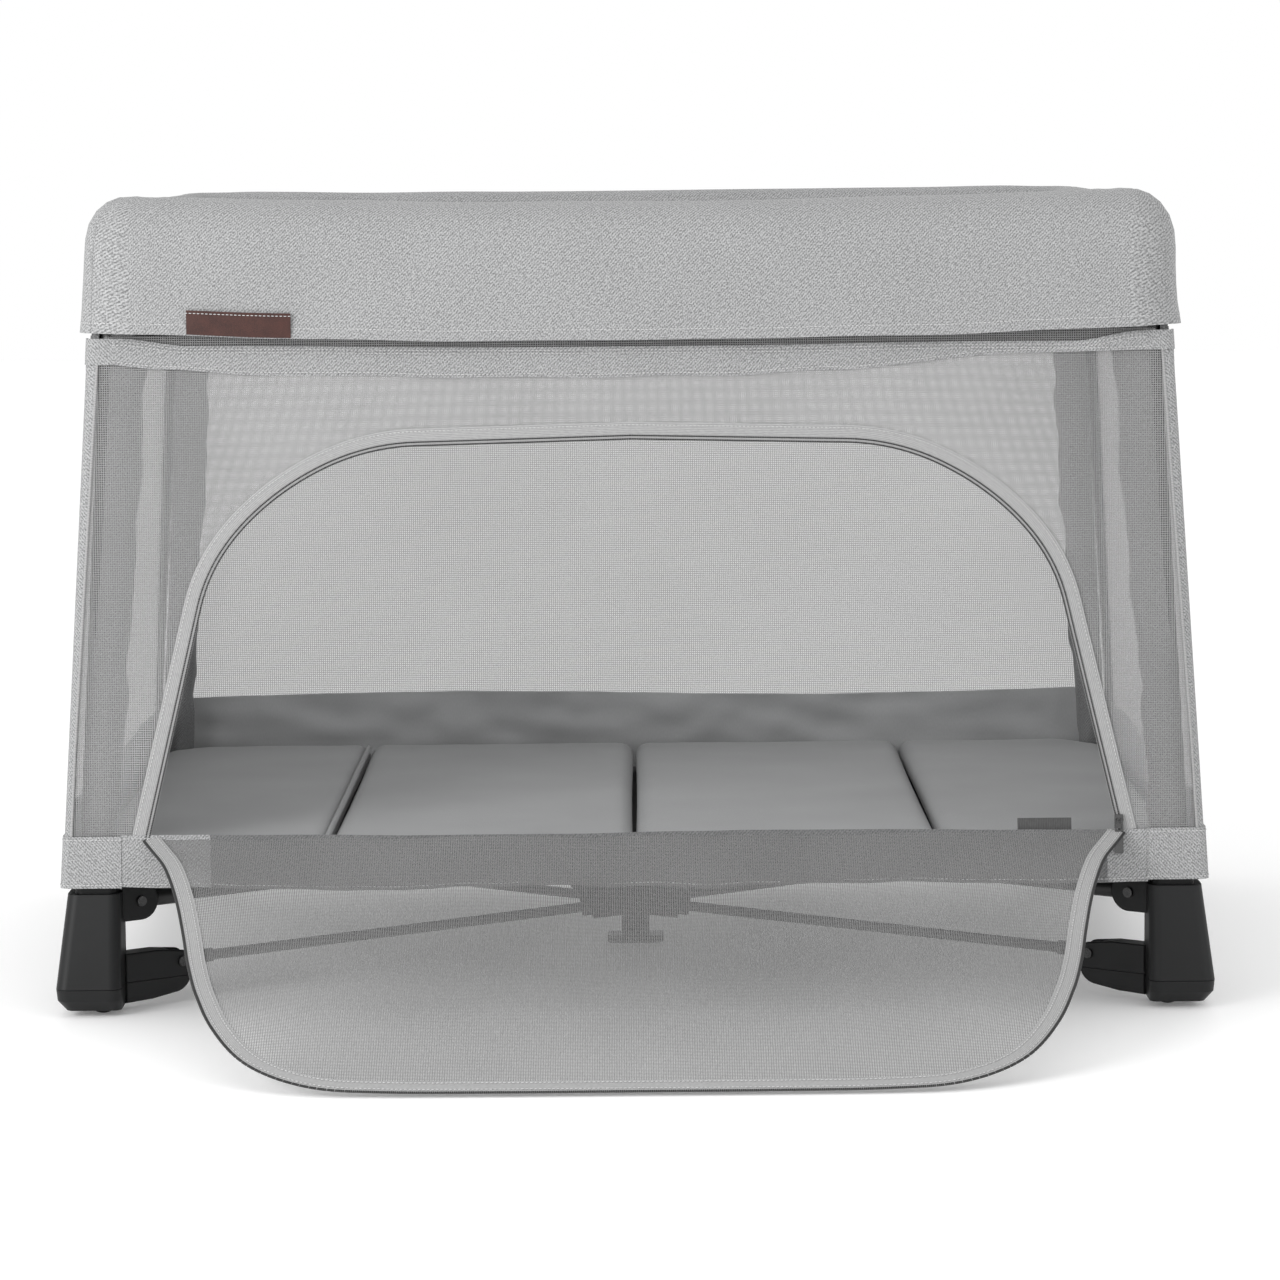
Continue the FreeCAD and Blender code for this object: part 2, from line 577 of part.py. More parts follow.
def floor_panel():
    """A thin fabric floor with its corners cut away round the feet."""
    hx, hy = FLOOR_HALF
    notch_x, notch_y = NECK_OUT[0] - NECK_SIDE - 3, NECK_OUT[1] - NECK_SIDE - 3
    outline = []
    for sx, sy in ((1, -1), (1, 1), (-1, 1), (-1, -1)):
        side = [(sx * hx, sy * notch_y), (sx * notch_x, sy * notch_y), (sx * notch_x, sy * hy)]
        outline += side if sx * sy > 0 else side[::-1]
    points = [Vec(px, py, FLOOR_Z[0]) for px, py in outline]
    return prism(points, Vec(0, 0, FLOOR_Z[1] - FLOOR_Z[0]))


def mattress_panel(index):
    """One of the four panels, its outer corners cut off if it is an end one."""
    low, high = SEAMS[index] + SEAM_GAP / 2, SEAMS[index + 1] - SEAM_GAP / 2
    half = MATTRESS_HALF_W
    panel = box((low, high), (-half, half), MATTRESS_Z)
    end = SEAMS[0] if index == 0 else SEAMS[-1]
    if index in (0, len(SEAMS) - 2):
        toward = 1 if index == 0 else -1
        for sy in (-1, 1):
            corner = [Vec(end - toward, sy * (half - MATTRESS_CUT), MATTRESS_Z[0]),
                      Vec(end + toward * MATTRESS_CUT, sy * (half + 1), MATTRESS_Z[0]),
                      Vec(end - toward, sy * (half + 1), MATTRESS_Z[0])]
            panel = panel.cut(prism(corner, Vec(0, 0, MATTRESS_Z[1] - MATTRESS_Z[0])))
    return panel


# ---------------------------------------------------------------- zip and tag

def zip_slider():
    wide, deep, tall = SLIDER_SIZE
    low = SLIDER - Vec(wide / 2, deep, tall / 2)
    body = box((low.x, low.x + wide), (low.y + 1.5, low.y + deep), (low.z, low.z + tall))
    body = fillet(body, 1.0, is_vertical)
    for side in (-1, 1):
        x = SLIDER.x + side * 1.6 - 0.5
        body = body.fuse(box((x, x + 1), (low.y - 1.2, low.y + 1.8), (SLIDER.z - 2, SLIDER.z + 3)))
    pin = pull_axis()
    return body.cut(rod(pin - Vec(5, 0, 0), pin + Vec(5, 0, 0), PULL_PIN_R + 0.05))


def pull_axis():
    return Vec(SLIDER.x, SLIDER.y - SLIDER_SIZE[1] + 0.3, SLIDER.z + 0.5)


def zip_pull():
    wide, thick, tall = PULL_SIZE
    axis = pull_axis()
    pin = rod(axis - Vec(3.0, 0, 0), axis + Vec(3.0, 0, 0), PULL_PIN_R)
    y = (axis.y - thick / 2, axis.y + thick / 2)
    arms = [box((axis.x + s * 3.0 - 0.6, axis.x + s * 3.0 + 0.6), y, (axis.z - 9, axis.z + 1)) for s in (-1, 1)]
    tab = box((axis.x - wide / 2, axis.x + wide / 2), y, (axis.z - tall, axis.z - 8))
    tab = tab.makeFillet(1.2, [e for e in tab.Edges if abs(e.CenterOfMass.x - axis.x) > wide / 2 - 0.1
                               and abs(e.Vertexes[0].Point.y - e.Vertexes[-1].Point.y) > 0.5])
    pull = pin.fuse(tab)
    for arm in arms:
        pull = pull.fuse(arm)
    return pull


def label_tag():
    y = -COVER_OUT[1] - 0.15
    return box(TAG_X, (y - TAG_T, y), TAG_Z)


# ---------------------------------------------------------------- assembly

def corner_nodes(corner):
    has_wheel = corner in ("fl", "rl")
    shapes = {
        f"foot_{corner}": foot_shell(),
        f"foot_cap_{corner}": foot_cap(has_wheel),
        f"leg_pins_{corner}": leg_pins(has_wheel),
        f"post_{corner}": post(),
        f"top_corner_{corner}": top_corner(),
        f"lower_strut_{corner}": lower_strut(),
        f"upper_strut_{corner}": upper_strut(),
    }
    if has_wheel:
        shapes[f"wheel_{corner}"] = wheel()
    else:
        shapes[f"glide_{corner}"] = glide()
    long_open = RUN if corner in ("fl", "rl") else LOOSE
    short_open = RUN if corner in ("fl", "fr") else LOOSE
    shapes[f"long_rail_{corner}"] = half_rail(
        Vec(LONG_PIVOTS[0], LONG_Y, RAIL_Z), Vec(LONG_PIVOTS[1], LONG_Y, RAIL_Z), Vec(0, 1, 0), long_open)
    shapes[f"short_rail_{corner}"] = half_rail(
        Vec(SHORT_X, SHORT_PIVOTS[0], RAIL_Z), Vec(SHORT_X, SHORT_PIVOTS[1], RAIL_Z), Vec(1, 0, 0), short_open)
    return {name: to_corner(shape, corner) for name, shape in shapes.items()}


def all_nodes():
    nodes = {}
    for corner in CORNERS:
        nodes.update(corner_nodes(corner))
    long_axis, short_axis = Vec(1, 0, 0), Vec(0, 1, 0)
    for name, sign in (("front", -1), ("rear", 1)):
        middle = Vec(0, sign * LONG_Y, RAIL_Z)
        nodes[f"hinge_block_{name}"] = centre_block(middle, long_axis, short_axis, LONG_BLOCK_HALF,
                                                    LONG_PIVOTS[1])
    for name, sign in (("left", -1), ("right", 1)):
        middle = Vec(sign * SHORT_X, 0, RAIL_Z)
        nodes[f"hinge_block_{name}"] = centre_block(middle, short_axis, long_axis, SHORT_BLOCK_HALF,
                                                    SHORT_PIVOTS[1])
    nodes["hub_housing"] = hub_housing()
    nodes["hub_cover"] = hub_cover()
    nodes["hub_pins"] = hub_pins()
    nodes["center_foot"] = centre_foot()
    nodes["front_wall"] = front_wall()
    nodes["enclosure_walls"] = enclosure_walls()
    nodes["top_cover"] = top_cover()
    nodes["floor_panel"] = floor_panel()
    nodes["door_flap"] = door_flap()
    for index in range(len(SEAMS) - 1):
        nodes[f"mattress_{index + 1}"] = mattress_panel(index)
    nodes["zip_slider"] = zip_slider()
    nodes["zip_pull"] = zip_pull()
    nodes["label_tag"] = label_tag()
    return nodes


os.makedirs("parts", exist_ok=True)
for node, shape in all_nodes().items():
    shape = shape.removeSplitter() if len(shape.Solids) == 1 else shape
    if not shape.isValid() or not shape.Solids or min(s.Volume for s in shape.Solids) <= 0:
        print("check this shape:", node, shape.isValid(), len(shape.Solids))
    shape.exportStep(f"parts/{node}.step")
    print(f"{node}: {len(shape.Solids)} solids, {shape.Volume / 1000:.1f} cm3")
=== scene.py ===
"""Looks for the folding playpen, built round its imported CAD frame. Shapes are written in millimetres and
scaled to metres by MM. +Z is up, +X is to the right and the front is -Y."""
import math

import bpy
from mathutils import Euler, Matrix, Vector, noise


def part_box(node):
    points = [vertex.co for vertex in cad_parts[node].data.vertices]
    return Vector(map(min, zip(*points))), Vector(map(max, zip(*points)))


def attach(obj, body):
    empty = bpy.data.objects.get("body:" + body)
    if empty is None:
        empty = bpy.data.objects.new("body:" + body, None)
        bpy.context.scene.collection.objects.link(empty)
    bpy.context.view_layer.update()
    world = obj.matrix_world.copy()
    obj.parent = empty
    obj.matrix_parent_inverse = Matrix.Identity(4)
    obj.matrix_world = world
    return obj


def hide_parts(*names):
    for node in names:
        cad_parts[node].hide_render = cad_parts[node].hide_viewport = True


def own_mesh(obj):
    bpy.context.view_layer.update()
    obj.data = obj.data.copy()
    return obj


MM = 0.001
FORWARD = Vector((0, -1, 0))
CORNERS = {"fl": (-1, -1), "fr": (1, -1), "rl": (-1, 1), "rr": (1, 1)}

# walls: half length and half width of the cloth at two heights
LOW_Z, HIGH_Z = 168.0, 603.0
SIDE_X = (529.0, 503.5)          # outermost, at LOW_Z and HIGH_Z
PIPING_X = (524.0, 493.0)        # where the front mesh meets the corner strip
FRONT_Y = (370.0, 340.6)
SLEEVE_X, SLEEVE_Y = (501.0, 472.0), (338.1, 319.4)
SLEEVE_WIDE = {-1: (17.0, 21.5), 1: (15.0, 18.0)}    # the front sleeves are looser than the rear ones
BAND_SPLIT = 477.0               # where the corner pieces of the bands start, from the middle
BAND_SPLIT_Y = 322.0
DOOR_SEAM = (-394.0, 440.0)      # the darker middle length of the front's lower band
WALL_TOP = 632.0
BAND_OUT = 1.6                   # bands lie this far outside the mesh

# cover
COVER_X, COVER_Y, COVER_R = 504.0, 347.0, 43.0
COVER_CUT_X, COVER_CUT_Y = 440.0, 283.0
HEM_Z, HEM_OUT = 645, 6.8         # the row of the profile that carries the hem's stitching
COVER_PROFILE = ((8.2, 635.5), (7.7, 639), (HEM_OUT, HEM_Z), (5.2, 656), (3.9, 672), (3.0, 690), (2.4, 706),
                 (1.0, 722), (-2.8, 736), (-10.5, 748), (-20.3, 756), (-31, 760.6), (-41, 761.2),
                 (-49, 757), (-54, 748), (-56.5, 735), (-57.5, 715), (-57.5, 690), (-57, 665),
                 (-56.5, 645), (-56.5, 638))
SAG_X, SAG_REAR, SAG_Y = 10.5, 2.5, 4.0

# the four sides: the direction they run in, on which side of the middle they are, and the leg they ride on
SIDES = {"front": ("x", -1, "fl"), "rear": ("x", 1, "rl"), "left": ("y", -1, "fl"), "right": ("y", 1, "fr")}

# door arch and flap
DOOR_SILL, DOOR_HALF, ARCH_R = 168.0, 455.0, 210.0
ARCH_C = (200.0, 333.0)
HINGE_Y, HINGE_Z = -370.5, 167.0
FLAP_SLOPE = math.radians(24.4)
FLAP_LENGTH = 384.0
FLAP_NORMAL = Vector((0, -math.sin(FLAP_SLOPE), math.cos(FLAP_SLOPE)))


# ---------- helpers

def lerp(a, b, t):
    return a + (b - a) * t


def smooth(t):
    t = min(1.0, max(0.0, t))
    return t * t * (3 - 2 * t)


def through(points, x):
    """A smooth height through a few (x, value) points."""
    if x <= points[0][0]:
        return points[0][1]
    for (x0, v0), (x1, v1) in zip(points, points[1:]):
        if x <= x1:
            return lerp(v0, v1, smooth((x - x0) / (x1 - x0)))
    return points[-1][1]


def at_height(pair, z):
    return lerp(pair[0], pair[1], (z - LOW_Z) / (HIGH_Z - LOW_Z))


def wrinkle(x, y, z, size, amount):
    """A smooth pseudo-random height, the same on each run. size is the length of a fold in mm."""
    return amount * noise.noise(Vector((x / size, y / size, z / size)))


def steps(low, high, count):
    return [lerp(low, high, i / (count - 1)) for i in range(count)]


def show(name, data):
    obj = bpy.data.objects.new(name, data)
    bpy.context.scene.collection.objects.link(obj)
    return obj


def mesh_object(name, verts, faces, material, uvs=None):
    mesh = bpy.data.meshes.new(name)
    mesh.from_pydata([v * MM for v in verts], [], faces)
    if uvs:
        layer = mesh.uv_layers.new(name="Cloth")
        for loop in mesh.loops:
            layer.data[loop.index].uv = uvs[loop.vertex_index]
    mesh.polygons.foreach_set("use_smooth", [True] * len(mesh.polygons))
    mesh.materials.append(material)
    return show(name, mesh)


def grid_faces(width, height, base=0):
    return [(a, a + 1, a + width + 1, a + width) for j in range(height - 1)
            for a in range(base + j * width, base + j * width + width - 1)]


def sheet_grid(name, rows, material, thick=1.2, start=(0.0, 0.0)):
    """A sheet from rows of points. Its UVs run in metres along the rows and up the columns."""
    middle, along = rows[len(rows) // 2], [0.0]
    for p, q in zip(middle, middle[1:]):
        along.append(along[-1] + (q - p).length)
    uvs, up = [], [0.0] * len(middle)
    for j, row in enumerate(rows):
        for i, p in enumerate(row):
            if j:
                up[i] += (p - rows[j - 1][i]).length
            uvs.append(((start[0] + along[i]) * MM, (start[1] + up[i]) * MM))
    faces = grid_faces(len(middle), len(rows))
    obj = mesh_object(name, [p for row in rows for p in row], faces, material, uvs)
    if thick:
        sharpen_border(obj.data)
        solid = obj.modifiers.new("thickness", "SOLIDIFY")
        solid.thickness = thick * MM
        solid.offset = 0
    return obj


def sharpen_border(mesh):
    uses = {}
    for poly in mesh.polygons:
        for key in poly.edge_keys:
            uses[key] = uses.get(key, 0) + 1
    for edge in mesh.edges:
        if uses.get(edge.key, 0) == 1:
            edge.use_edge_sharp = True


def frame_along(path, i):
    """The unit direction of a path at its point i."""
    return (path[min(i + 1, len(path) - 1)] - path[max(i - 1, 0)]).normalized()


def loft(base, rings, count):
    """The faces of a closed shell through rings of count points, the first point being number base."""
    faces = []
    for j in range(rings - 1):
        for k in range(count):
            a, b = base + j * count + k, base + j * count + (k + 1) % count
            faces.append((a, b, b + count, a + count))
    faces.append(tuple(range(base, base + count))[::-1])
    faces.append(tuple(range(base + (rings - 1) * count, base + rings * count)))
    return faces


def tube(name, path, radius, material, sides=8):
    """A closed round cord along a path."""
    verts, uvs = [], []
    side = None
    length = 0.0
    for i, p in enumerate(path):
        direction = frame_along(path, i)
        if side is None:
            side = direction.orthogonal().normalized()
        side = (side - direction * side.dot(direction)).normalized()
        other = direction.cross(side)
        length += (p - path[i - 1]).length if i else 0
        for k in range(sides):
            turn = 2 * math.pi * k / sides
            verts.append(p + (side * math.cos(turn) + other * math.sin(turn)) * radius)
            uvs.append((length * MM, k * radius * 2 * math.pi / sides * MM))
    return mesh_object(name, verts, loft(0, len(path), sides), material, uvs)


def ribbon(name, path, normals, width, thick, material, shift=0.0, crown=0.4):
    """A woven tape along a path, lying flat across the given normals. shift moves it sideways."""
    columns = steps(-1, 1, 5)
    rows = []
    for i, p in enumerate(path):
        across = frame_along(path, i).cross(normals[i]).normalized()
        rows.append([p + across * (shift + c * width / 2) + normals[i] * crown * (1 - c * c)
                     for c in columns])
    return sheet_grid(name, rows, material, thick)


def resample(path, pitch):
    """Points every pitch mm along a path, with the share of the way between the path's own points."""
    found, left = [], 0.0
    for i, (p, q) in enumerate(zip(path, path[1:])):
        span = (q - p).length
        while left <= span:
            found.append((i, left / span if span else 0.0))
            left += pitch
        left -= span
    return found


def beads(name, path, normals, material, pitch, shift, lift, ring):
    """Small closed beads along a path. ring gives the four points of each ring, from the bead's middle."""
    verts, faces = [], []
    for i, t in resample(path, pitch):
        along = (path[i + 1] - path[i]).normalized()
        up = normals[i].lerp(normals[i + 1], t).normalized()
        across = along.cross(up).normalized()
        centre = path[i].lerp(path[i + 1], t) + across * shift + up * lift
        faces += loft(len(verts), 4, 4)
        for end in range(4):
            verts += [centre + p for p in ring(end, along, across, up)]
    return mesh_object(name, verts, faces, material)


def stitches(name, path, normals, material, shift=0.0, lift=0.25):
    """Thread stitches along a path, each a small pointed bead lying on the cloth."""
    radius, turns = 0.46, [math.pi / 4 + k * math.pi / 2 for k in range(4)]
    ends = ((-1.3, 0.35), (-0.65, 1.0), (0.65, 1.0), (1.3, 0.35))

    def ring(end, along, across, up):
        place, size = ends[end]
        return [along * place + (across * math.cos(a) + up * math.sin(a)) * radius * size for a in turns]

    return beads(name, path, normals, material, 3.8, shift, lift, ring)


def coil(name, path, normals, material, shift, width):
    """A closed zip's coil: a row of small rounded teeth across the path."""
    pitch = 1.6
    ends = ((-0.5, 0.1), (-0.32, 0.75), (0.32, 0.75), (0.5, 0.1))

    def ring(end, along, across, up):
        place, high = ends[end]
        corners = ((-0.5, -0.5), (0.5, -0.5), (0.42, high), (-0.42, high))
        return [across * place * width + along * a * pitch * 0.8 + up * n for a, n in corners]

    return beads(name, path, normals, material, pitch, shift, 0.9, ring)


def flip(points, sx, sy):
    """Points drawn in the rear right corner, moved to another one."""
    return [Vector((p.x * sx, p.y * sy, p.z)) for p in points]


def mirrored(rows, sx, sy):
    """Rows moved to another corner, and turned round to keep their facing."""
    moved = [flip(row, sx, sy) for row in rows]
    return moved if sx * sy > 0 else [row[::-1] for row in moved]


def outward(points, centre):
    """Level directions away from an upright line, for stitches on a wall that goes round a corner."""
    return [Vector((p.x - centre[0], p.y - centre[1], 0)).normalized() for p in points]


def put(obj, body, squash=None):
    """Let a piece ride on a body, with its own copy of its mesh when squash is given."""
    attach(obj, body)
    if squash:
        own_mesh(obj)
    return obj


def lay_uvs(obj, place):
    """Give a net UVs from where its points lie, so that its threads run straight."""
    layer = obj.data.uv_layers["Cloth"]
    for loop in obj.data.loops:
        layer.data[loop.index].uv = place(obj.data.vertices[loop.vertex_index].co)


# ---------- materials

class Nodes:
    """A material under construction, with short ways to add nodes."""

    def __init__(self, name, **sockets):
        self.material = bpy.data.materials.new(name)
        self.material.use_nodes = True
        self.tree = self.material.node_tree
        self.shader = self.tree.nodes["Principled BSDF"]
        for key, value in sockets.items():
            self.shader.inputs[key.replace("_", " ")].default_value = value

    def add(self, kind, sockets=(), **settings):
        """A node with its settings. Sockets take a value or another node's output."""
        node = self.tree.nodes.new(kind)
        for key, value in settings.items():
            setattr(node, key, value)
        for key, value in dict(sockets).items():
            if isinstance(value, bpy.types.NodeSocket):
                self.link(value, node.inputs[key])
            else:
                node.inputs[key].default_value = value
        return node

    def link(self, output, target):
        self.tree.links.new(output, target)

    def coords(self, kind="UV", scale=(1, 1, 1), turn=0.0):
        place = self.add("ShaderNodeTexCoord").outputs[kind]
        sockets = {"Vector": place, "Scale": scale, "Rotation": (0, 0, turn)}
        return self.add("ShaderNodeMapping", sockets).outputs["Vector"]

    def noise(self, vector, scale, detail=2.0, rough=0.5, output="Fac"):
        sockets = {"Vector": vector, "Scale": scale, "Detail": detail, "Roughness": rough}
        return self.add("ShaderNodeTexNoise", sockets).outputs[output]

    def bands(self, vector, pitch, direction="X"):
        """Soft ridges a pitch apart, in metres."""
        node = self.add("ShaderNodeTexWave", {"Vector": vector, "Scale": math.pi / (10 * pitch)},
                        wave_type="BANDS", bands_direction=direction)
        return node.outputs["Fac"]

    def math(self, operation, *values):
        return self.add("ShaderNodeMath", enumerate(values), operation=operation).outputs[0]

    def between(self, fac, low, high, from_low=0.0, from_high=1.0):
        sockets = {"Value": fac, "From Min": from_low, "From Max": from_high, "To Min": low, "To Max": high}
        return self.add("ShaderNodeMapRange", sockets).outputs["Result"]

    def colours(self, fac, *stops):
        ramp = self.add("ShaderNodeValToRGB")
        elements = ramp.color_ramp.elements
        while len(elements) < len(stops):
            elements.new(0.5)
        for element, (place, colour) in zip(elements, stops):
            element.position = place
            element.color = (*colour, 1.0)
        self.link(fac, ramp.inputs["Fac"])
        return ramp.outputs["Color"]

    def finish(self, colour=None, rough=None, height=None, strength=0.3, distance=0.0005, alpha=None):
        for key, output in (("Base Color", colour), ("Roughness", rough), ("Alpha", alpha)):
            if output is not None:
                self.link(output, self.shader.inputs[key])
        if height is not None:
            bump = self.add("ShaderNodeBump", {"Height": height, "Strength": strength, "Distance": distance})
            self.link(bump.outputs["Normal"], self.shader.inputs["Normal"])
        return self.material


def grey(value, warm=0.0):
    return (value * (1 + warm), value, value * (1 - warm))


def times(colour, factor):
    return tuple(c * factor for c in colour)


def heather(name, dark, light, contrast=1.0):
    """Melange twill: two greys of yarn in fine diagonal flecks, softer and harder in broad patches."""
    n = Nodes(name, Roughness=0.88, Sheen_Weight=0.12, Sheen_Roughness=0.5, Specular_IOR_Level=0.2)
    fleck = n.noise(n.coords(scale=(1, 0.5, 1), turn=0.8), 960, 2.5, 0.65)
    yarn = n.noise(n.coords(scale=(0.35, 1.5, 1)), 640, 2)
    twill = n.bands(n.coords(turn=0.78), 0.0024)
    patch = n.noise(n.coords(), 9, 2)
    mixed = n.math("MULTIPLY_ADD", fleck, 0.65, n.math("MULTIPLY", twill, 0.10))
    mixed = n.math("ADD", mixed, n.math("MULTIPLY", yarn, 0.25))
    mixed = n.math("MULTIPLY_ADD", n.math("SUBTRACT", mixed, 0.5), 3.0 * contrast, 0.5)
    mixed = n.math("MULTIPLY_ADD", n.math("SUBTRACT", patch, 0.5), 0.12, mixed)
    colour = n.colours(mixed, (0.12, dark), (0.88, light))
    return n.finish(colour, None, mixed, 0.35, 0.0004)


def net(name, colour, thread, clear, dense, pitch=0.0021):
    """See-through net: threads along both UV directions, thread being their share of the pitch. clear and
    dense are how much a hole and a thread hide."""
    n = Nodes(name, Roughness=0.7, Sheen_Weight=0.1, Specular_IOR_Level=0.25)
    cloud = n.noise(n.coords(), 25, output="Color")
    shift = n.add("ShaderNodeVectorMath", {0: cloud, "Scale": 0.0004}, operation="SCALE")
    wobble = n.add("ShaderNodeVectorMath", {0: n.coords(), 1: shift.outputs[0]}, operation="ADD")
    split = n.add("ShaderNodeSeparateXYZ", {0: wobble.outputs[0]})
    shares = []
    for axis in ("X", "Y"):
        place = n.math("FRACT", n.math("DIVIDE", split.outputs[axis], pitch))
        shares.append(n.math("ABSOLUTE", n.math("SUBTRACT", place, 0.5)))
    nearest = n.math("MINIMUM", shares[0], shares[1])
    alpha = n.between(nearest, dense, clear, thread / 2 - 0.06, thread / 2 + 0.06)
    tone = n.noise(n.coords(), 420, 1.0)
    broad = n.noise(n.coords(), 6, 2.0)
    shade = n.math("MULTIPLY_ADD", broad, 0.5, n.math("MULTIPLY", tone, 0.5))
    return n.finish(n.colours(shade, (0.3, times(colour, 0.82)), (0.7, times(colour, 1.15))), alpha=alpha)


def plain_weave(name, dark, light, sheen=0.2):
    """Smooth close-woven polyester, with a faint over-and-under and a soft change of tone."""
    n = Nodes(name, Roughness=0.8, Sheen_Weight=sheen, Sheen_Roughness=0.4, Specular_IOR_Level=0.25)
    over = n.math("MULTIPLY", n.bands(n.coords(), 0.0011), n.bands(n.coords(), 0.0011, "Y"))
    fibre = n.noise(n.coords(scale=(1, 0.3, 1)), 900, 2)
    broad = n.noise(n.coords(), 7, 3)
    mixed = n.math("MULTIPLY_ADD", over, 0.2, n.math("MULTIPLY", fibre, 0.35))
    mixed = n.math("MULTIPLY_ADD", broad, 0.45, mixed)
    colour = n.colours(mixed, (0.25, dark), (0.75, light))
    return n.finish(colour, None, n.math("MULTIPLY_ADD", fibre, 0.5, over), 0.25, 0.0003)


def tape(name, dark, light):
    """Ribbed zip tape, its ribs across the tape."""
    n = Nodes(name, Roughness=0.75, Sheen_Weight=0.1, Specular_IOR_Level=0.25)
    ribs = n.bands(n.coords(), 0.0016)
    fibre = n.noise(n.coords(scale=(1, 0.3, 1)), 800, 2)
    mixed = n.math("MULTIPLY_ADD", ribs, 0.4, n.math("MULTIPLY", fibre, 0.6))
    return n.finish(n.colours(mixed, (0.2, dark), (0.8, light)), None, mixed, 0.4, 0.0004)


def moulded(name, dark, light, rough=(0.38, 0.52), grain=1400):
    """Moulded plastic: a fine spark-eroded grain, uneven gloss and edges painted lighter, a painted
    highlight on its rounded edges.
    """
    n = Nodes(name, Specular_IOR_Level=0.3)
    place = n.coords("Object")
    fine = n.noise(place, grain, 2)
    broad = n.noise(place, 14, 3)
    edge = n.add("ShaderNodeBevel", {"Radius": 0.0012}, samples=4).outputs[0]
    flat = n.add("ShaderNodeNewGeometry").outputs["Normal"]
    turned = n.add("ShaderNodeVectorMath", {0: edge, 1: flat}, operation="DOT_PRODUCT")
    # painted highlight: lighter wherever the bevel normal turns away from the face, on every edge
    painted_edge_highlight = n.between(turned.outputs["Value"], 0.32, 0.0, 0.86, 0.995)
    tone = n.math("ADD", painted_edge_highlight, n.math("MULTIPLY_ADD", broad, 0.5, n.math("MULTIPLY", fine, 0.3)))
    colour = n.colours(tone, (0.2, dark), (0.95, light))
    bump = n.add("ShaderNodeBump", {"Height": fine, "Normal": edge, "Strength": 0.08, "Distance": 0.0003})
    n.link(bump.outputs["Normal"], n.shader.inputs["Normal"])
    return n.finish(colour, n.between(broad, *rough, 0.3, 0.7))


def coated_tube(name, dark, light):
    n = Nodes(name, Specular_IOR_Level=0.5)
    place = n.coords("Object")
    peel = n.noise(place, 500, 2)
    broad = n.noise(place, 18, 2)
    colour = n.colours(broad, (0.3, dark), (0.7, light))
    return n.finish(colour, n.between(broad, 0.3, 0.42), peel, 0.12, 0.0003)


def metal(name, colour, rough=(0.22, 0.38)):
    n = Nodes(name, Metallic=1.0)
    place = n.coords("Object")
    scratch = n.noise(n.coords("Object", scale=(1, 1, 9)), 300, 2)
    broad = n.noise(place, 60, 2)
    shade = n.colours(broad, (0.3, times(colour, 0.8)), (0.7, colour))
    return n.finish(shade, n.between(scratch, *rough, 0.3, 0.7), scratch, 0.1, 0.0002)


def leather(name, dark, light):
    n = Nodes(name, Roughness=0.55, Specular_IOR_Level=0.4)
    cells = n.add("ShaderNodeTexVoronoi", {"Vector": n.coords(), "Scale": 900}, feature="DISTANCE_TO_EDGE")
    broad = n.noise(n.coords(), 60, 3)
    crease = n.between(cells.outputs["Distance"], 0.0, 1.0, 0.0, 0.25)
    tone = n.math("MULTIPLY_ADD", broad, 0.7, n.math("MULTIPLY", crease, 0.3))
    return n.finish(n.colours(tone, (0.25, dark), (0.8, light)), None, crease, 0.3, 0.0003)


def rubber(name):
    n = Nodes(name)
    fine = n.noise(n.coords("Object"), 900, 3)
    return n.finish(n.colours(fine, (0.3, grey(0.012)), (0.7, grey(0.026))),
                    n.between(fine, 0.6, 0.85), fine, 0.3, 0.0004)


def thread(name, colour):
    n = Nodes(name, Roughness=0.6)
    twist = n.noise(n.coords("Object"), 1500, 1)
    return n.finish(n.colours(twist, (0.3, times(colour, 0.75)), (0.7, colour)))


# ---------- cover

def ring_point(offset, share):
    """A point on the cover's rounded rectangle in the rear right corner. share goes from 0 at the cut on
    the long side to 1 at the cut on the short side."""
    radius = max(COVER_R + offset, 7.0)
    cx, cy = COVER_X + offset - radius, COVER_Y + offset - radius
    if share < 0.25:
        return lerp(COVER_CUT_X, cx, share / 0.25), cy + radius
    if share > 0.75:
        return cx + radius, lerp(cy, COVER_CUT_Y, (share - 0.75) / 0.25)
    turn = math.pi / 2 * (1 - (share - 0.25) / 0.5)
    return cx + radius * math.cos(turn), cy + radius * math.sin(turn)


def sag(x, y):
    drop = SAG_X if y < 0 else SAG_REAR
    drop *= max(0.0, 1 - (x / COVER_X) ** 2) * smooth((abs(y) - 250) / 40)
    return drop + SAG_Y * max(0.0, 1 - (y / COVER_Y) ** 2) * smooth((abs(x) - 400) / 40)


def cover_point(x, y, z, offset):
    """A point on the cover with its sag and its soft unevenness."""
    away = Vector((math.copysign(max(0.0, abs(x) - 400), x), math.copysign(max(0.0, abs(y) - 250), y), 0))
    away = away.normalized() if away.length > 0 else Vector((0, 1, 0))
    puff = wrinkle(x, y, z, 62, 1.5) + wrinkle(x, y, z * 0.6, 23, 0.6)
    hem = smooth((665 - z) / 30) * wrinkle(x, y, 3, 95, 3.2)
    inner = -1 if offset < -50 else 1
    place = Vector((x, y, z - sag(x, y))) + away * (puff + hem) * inner
    place.z += wrinkle(x, y, 9, 120, 1.8) * (1 if z < 650 else 0.7)
    return place


def cover_side(name, c, z, offset):
    """A point c mm along one of the cover's straight lengths."""
    along, sign = SIDES[name][:2]
    if along == "x":
        return cover_point(c, sign * (COVER_Y + offset), z, offset)
    return cover_point(sign * (COVER_X + offset), c, z, offset)


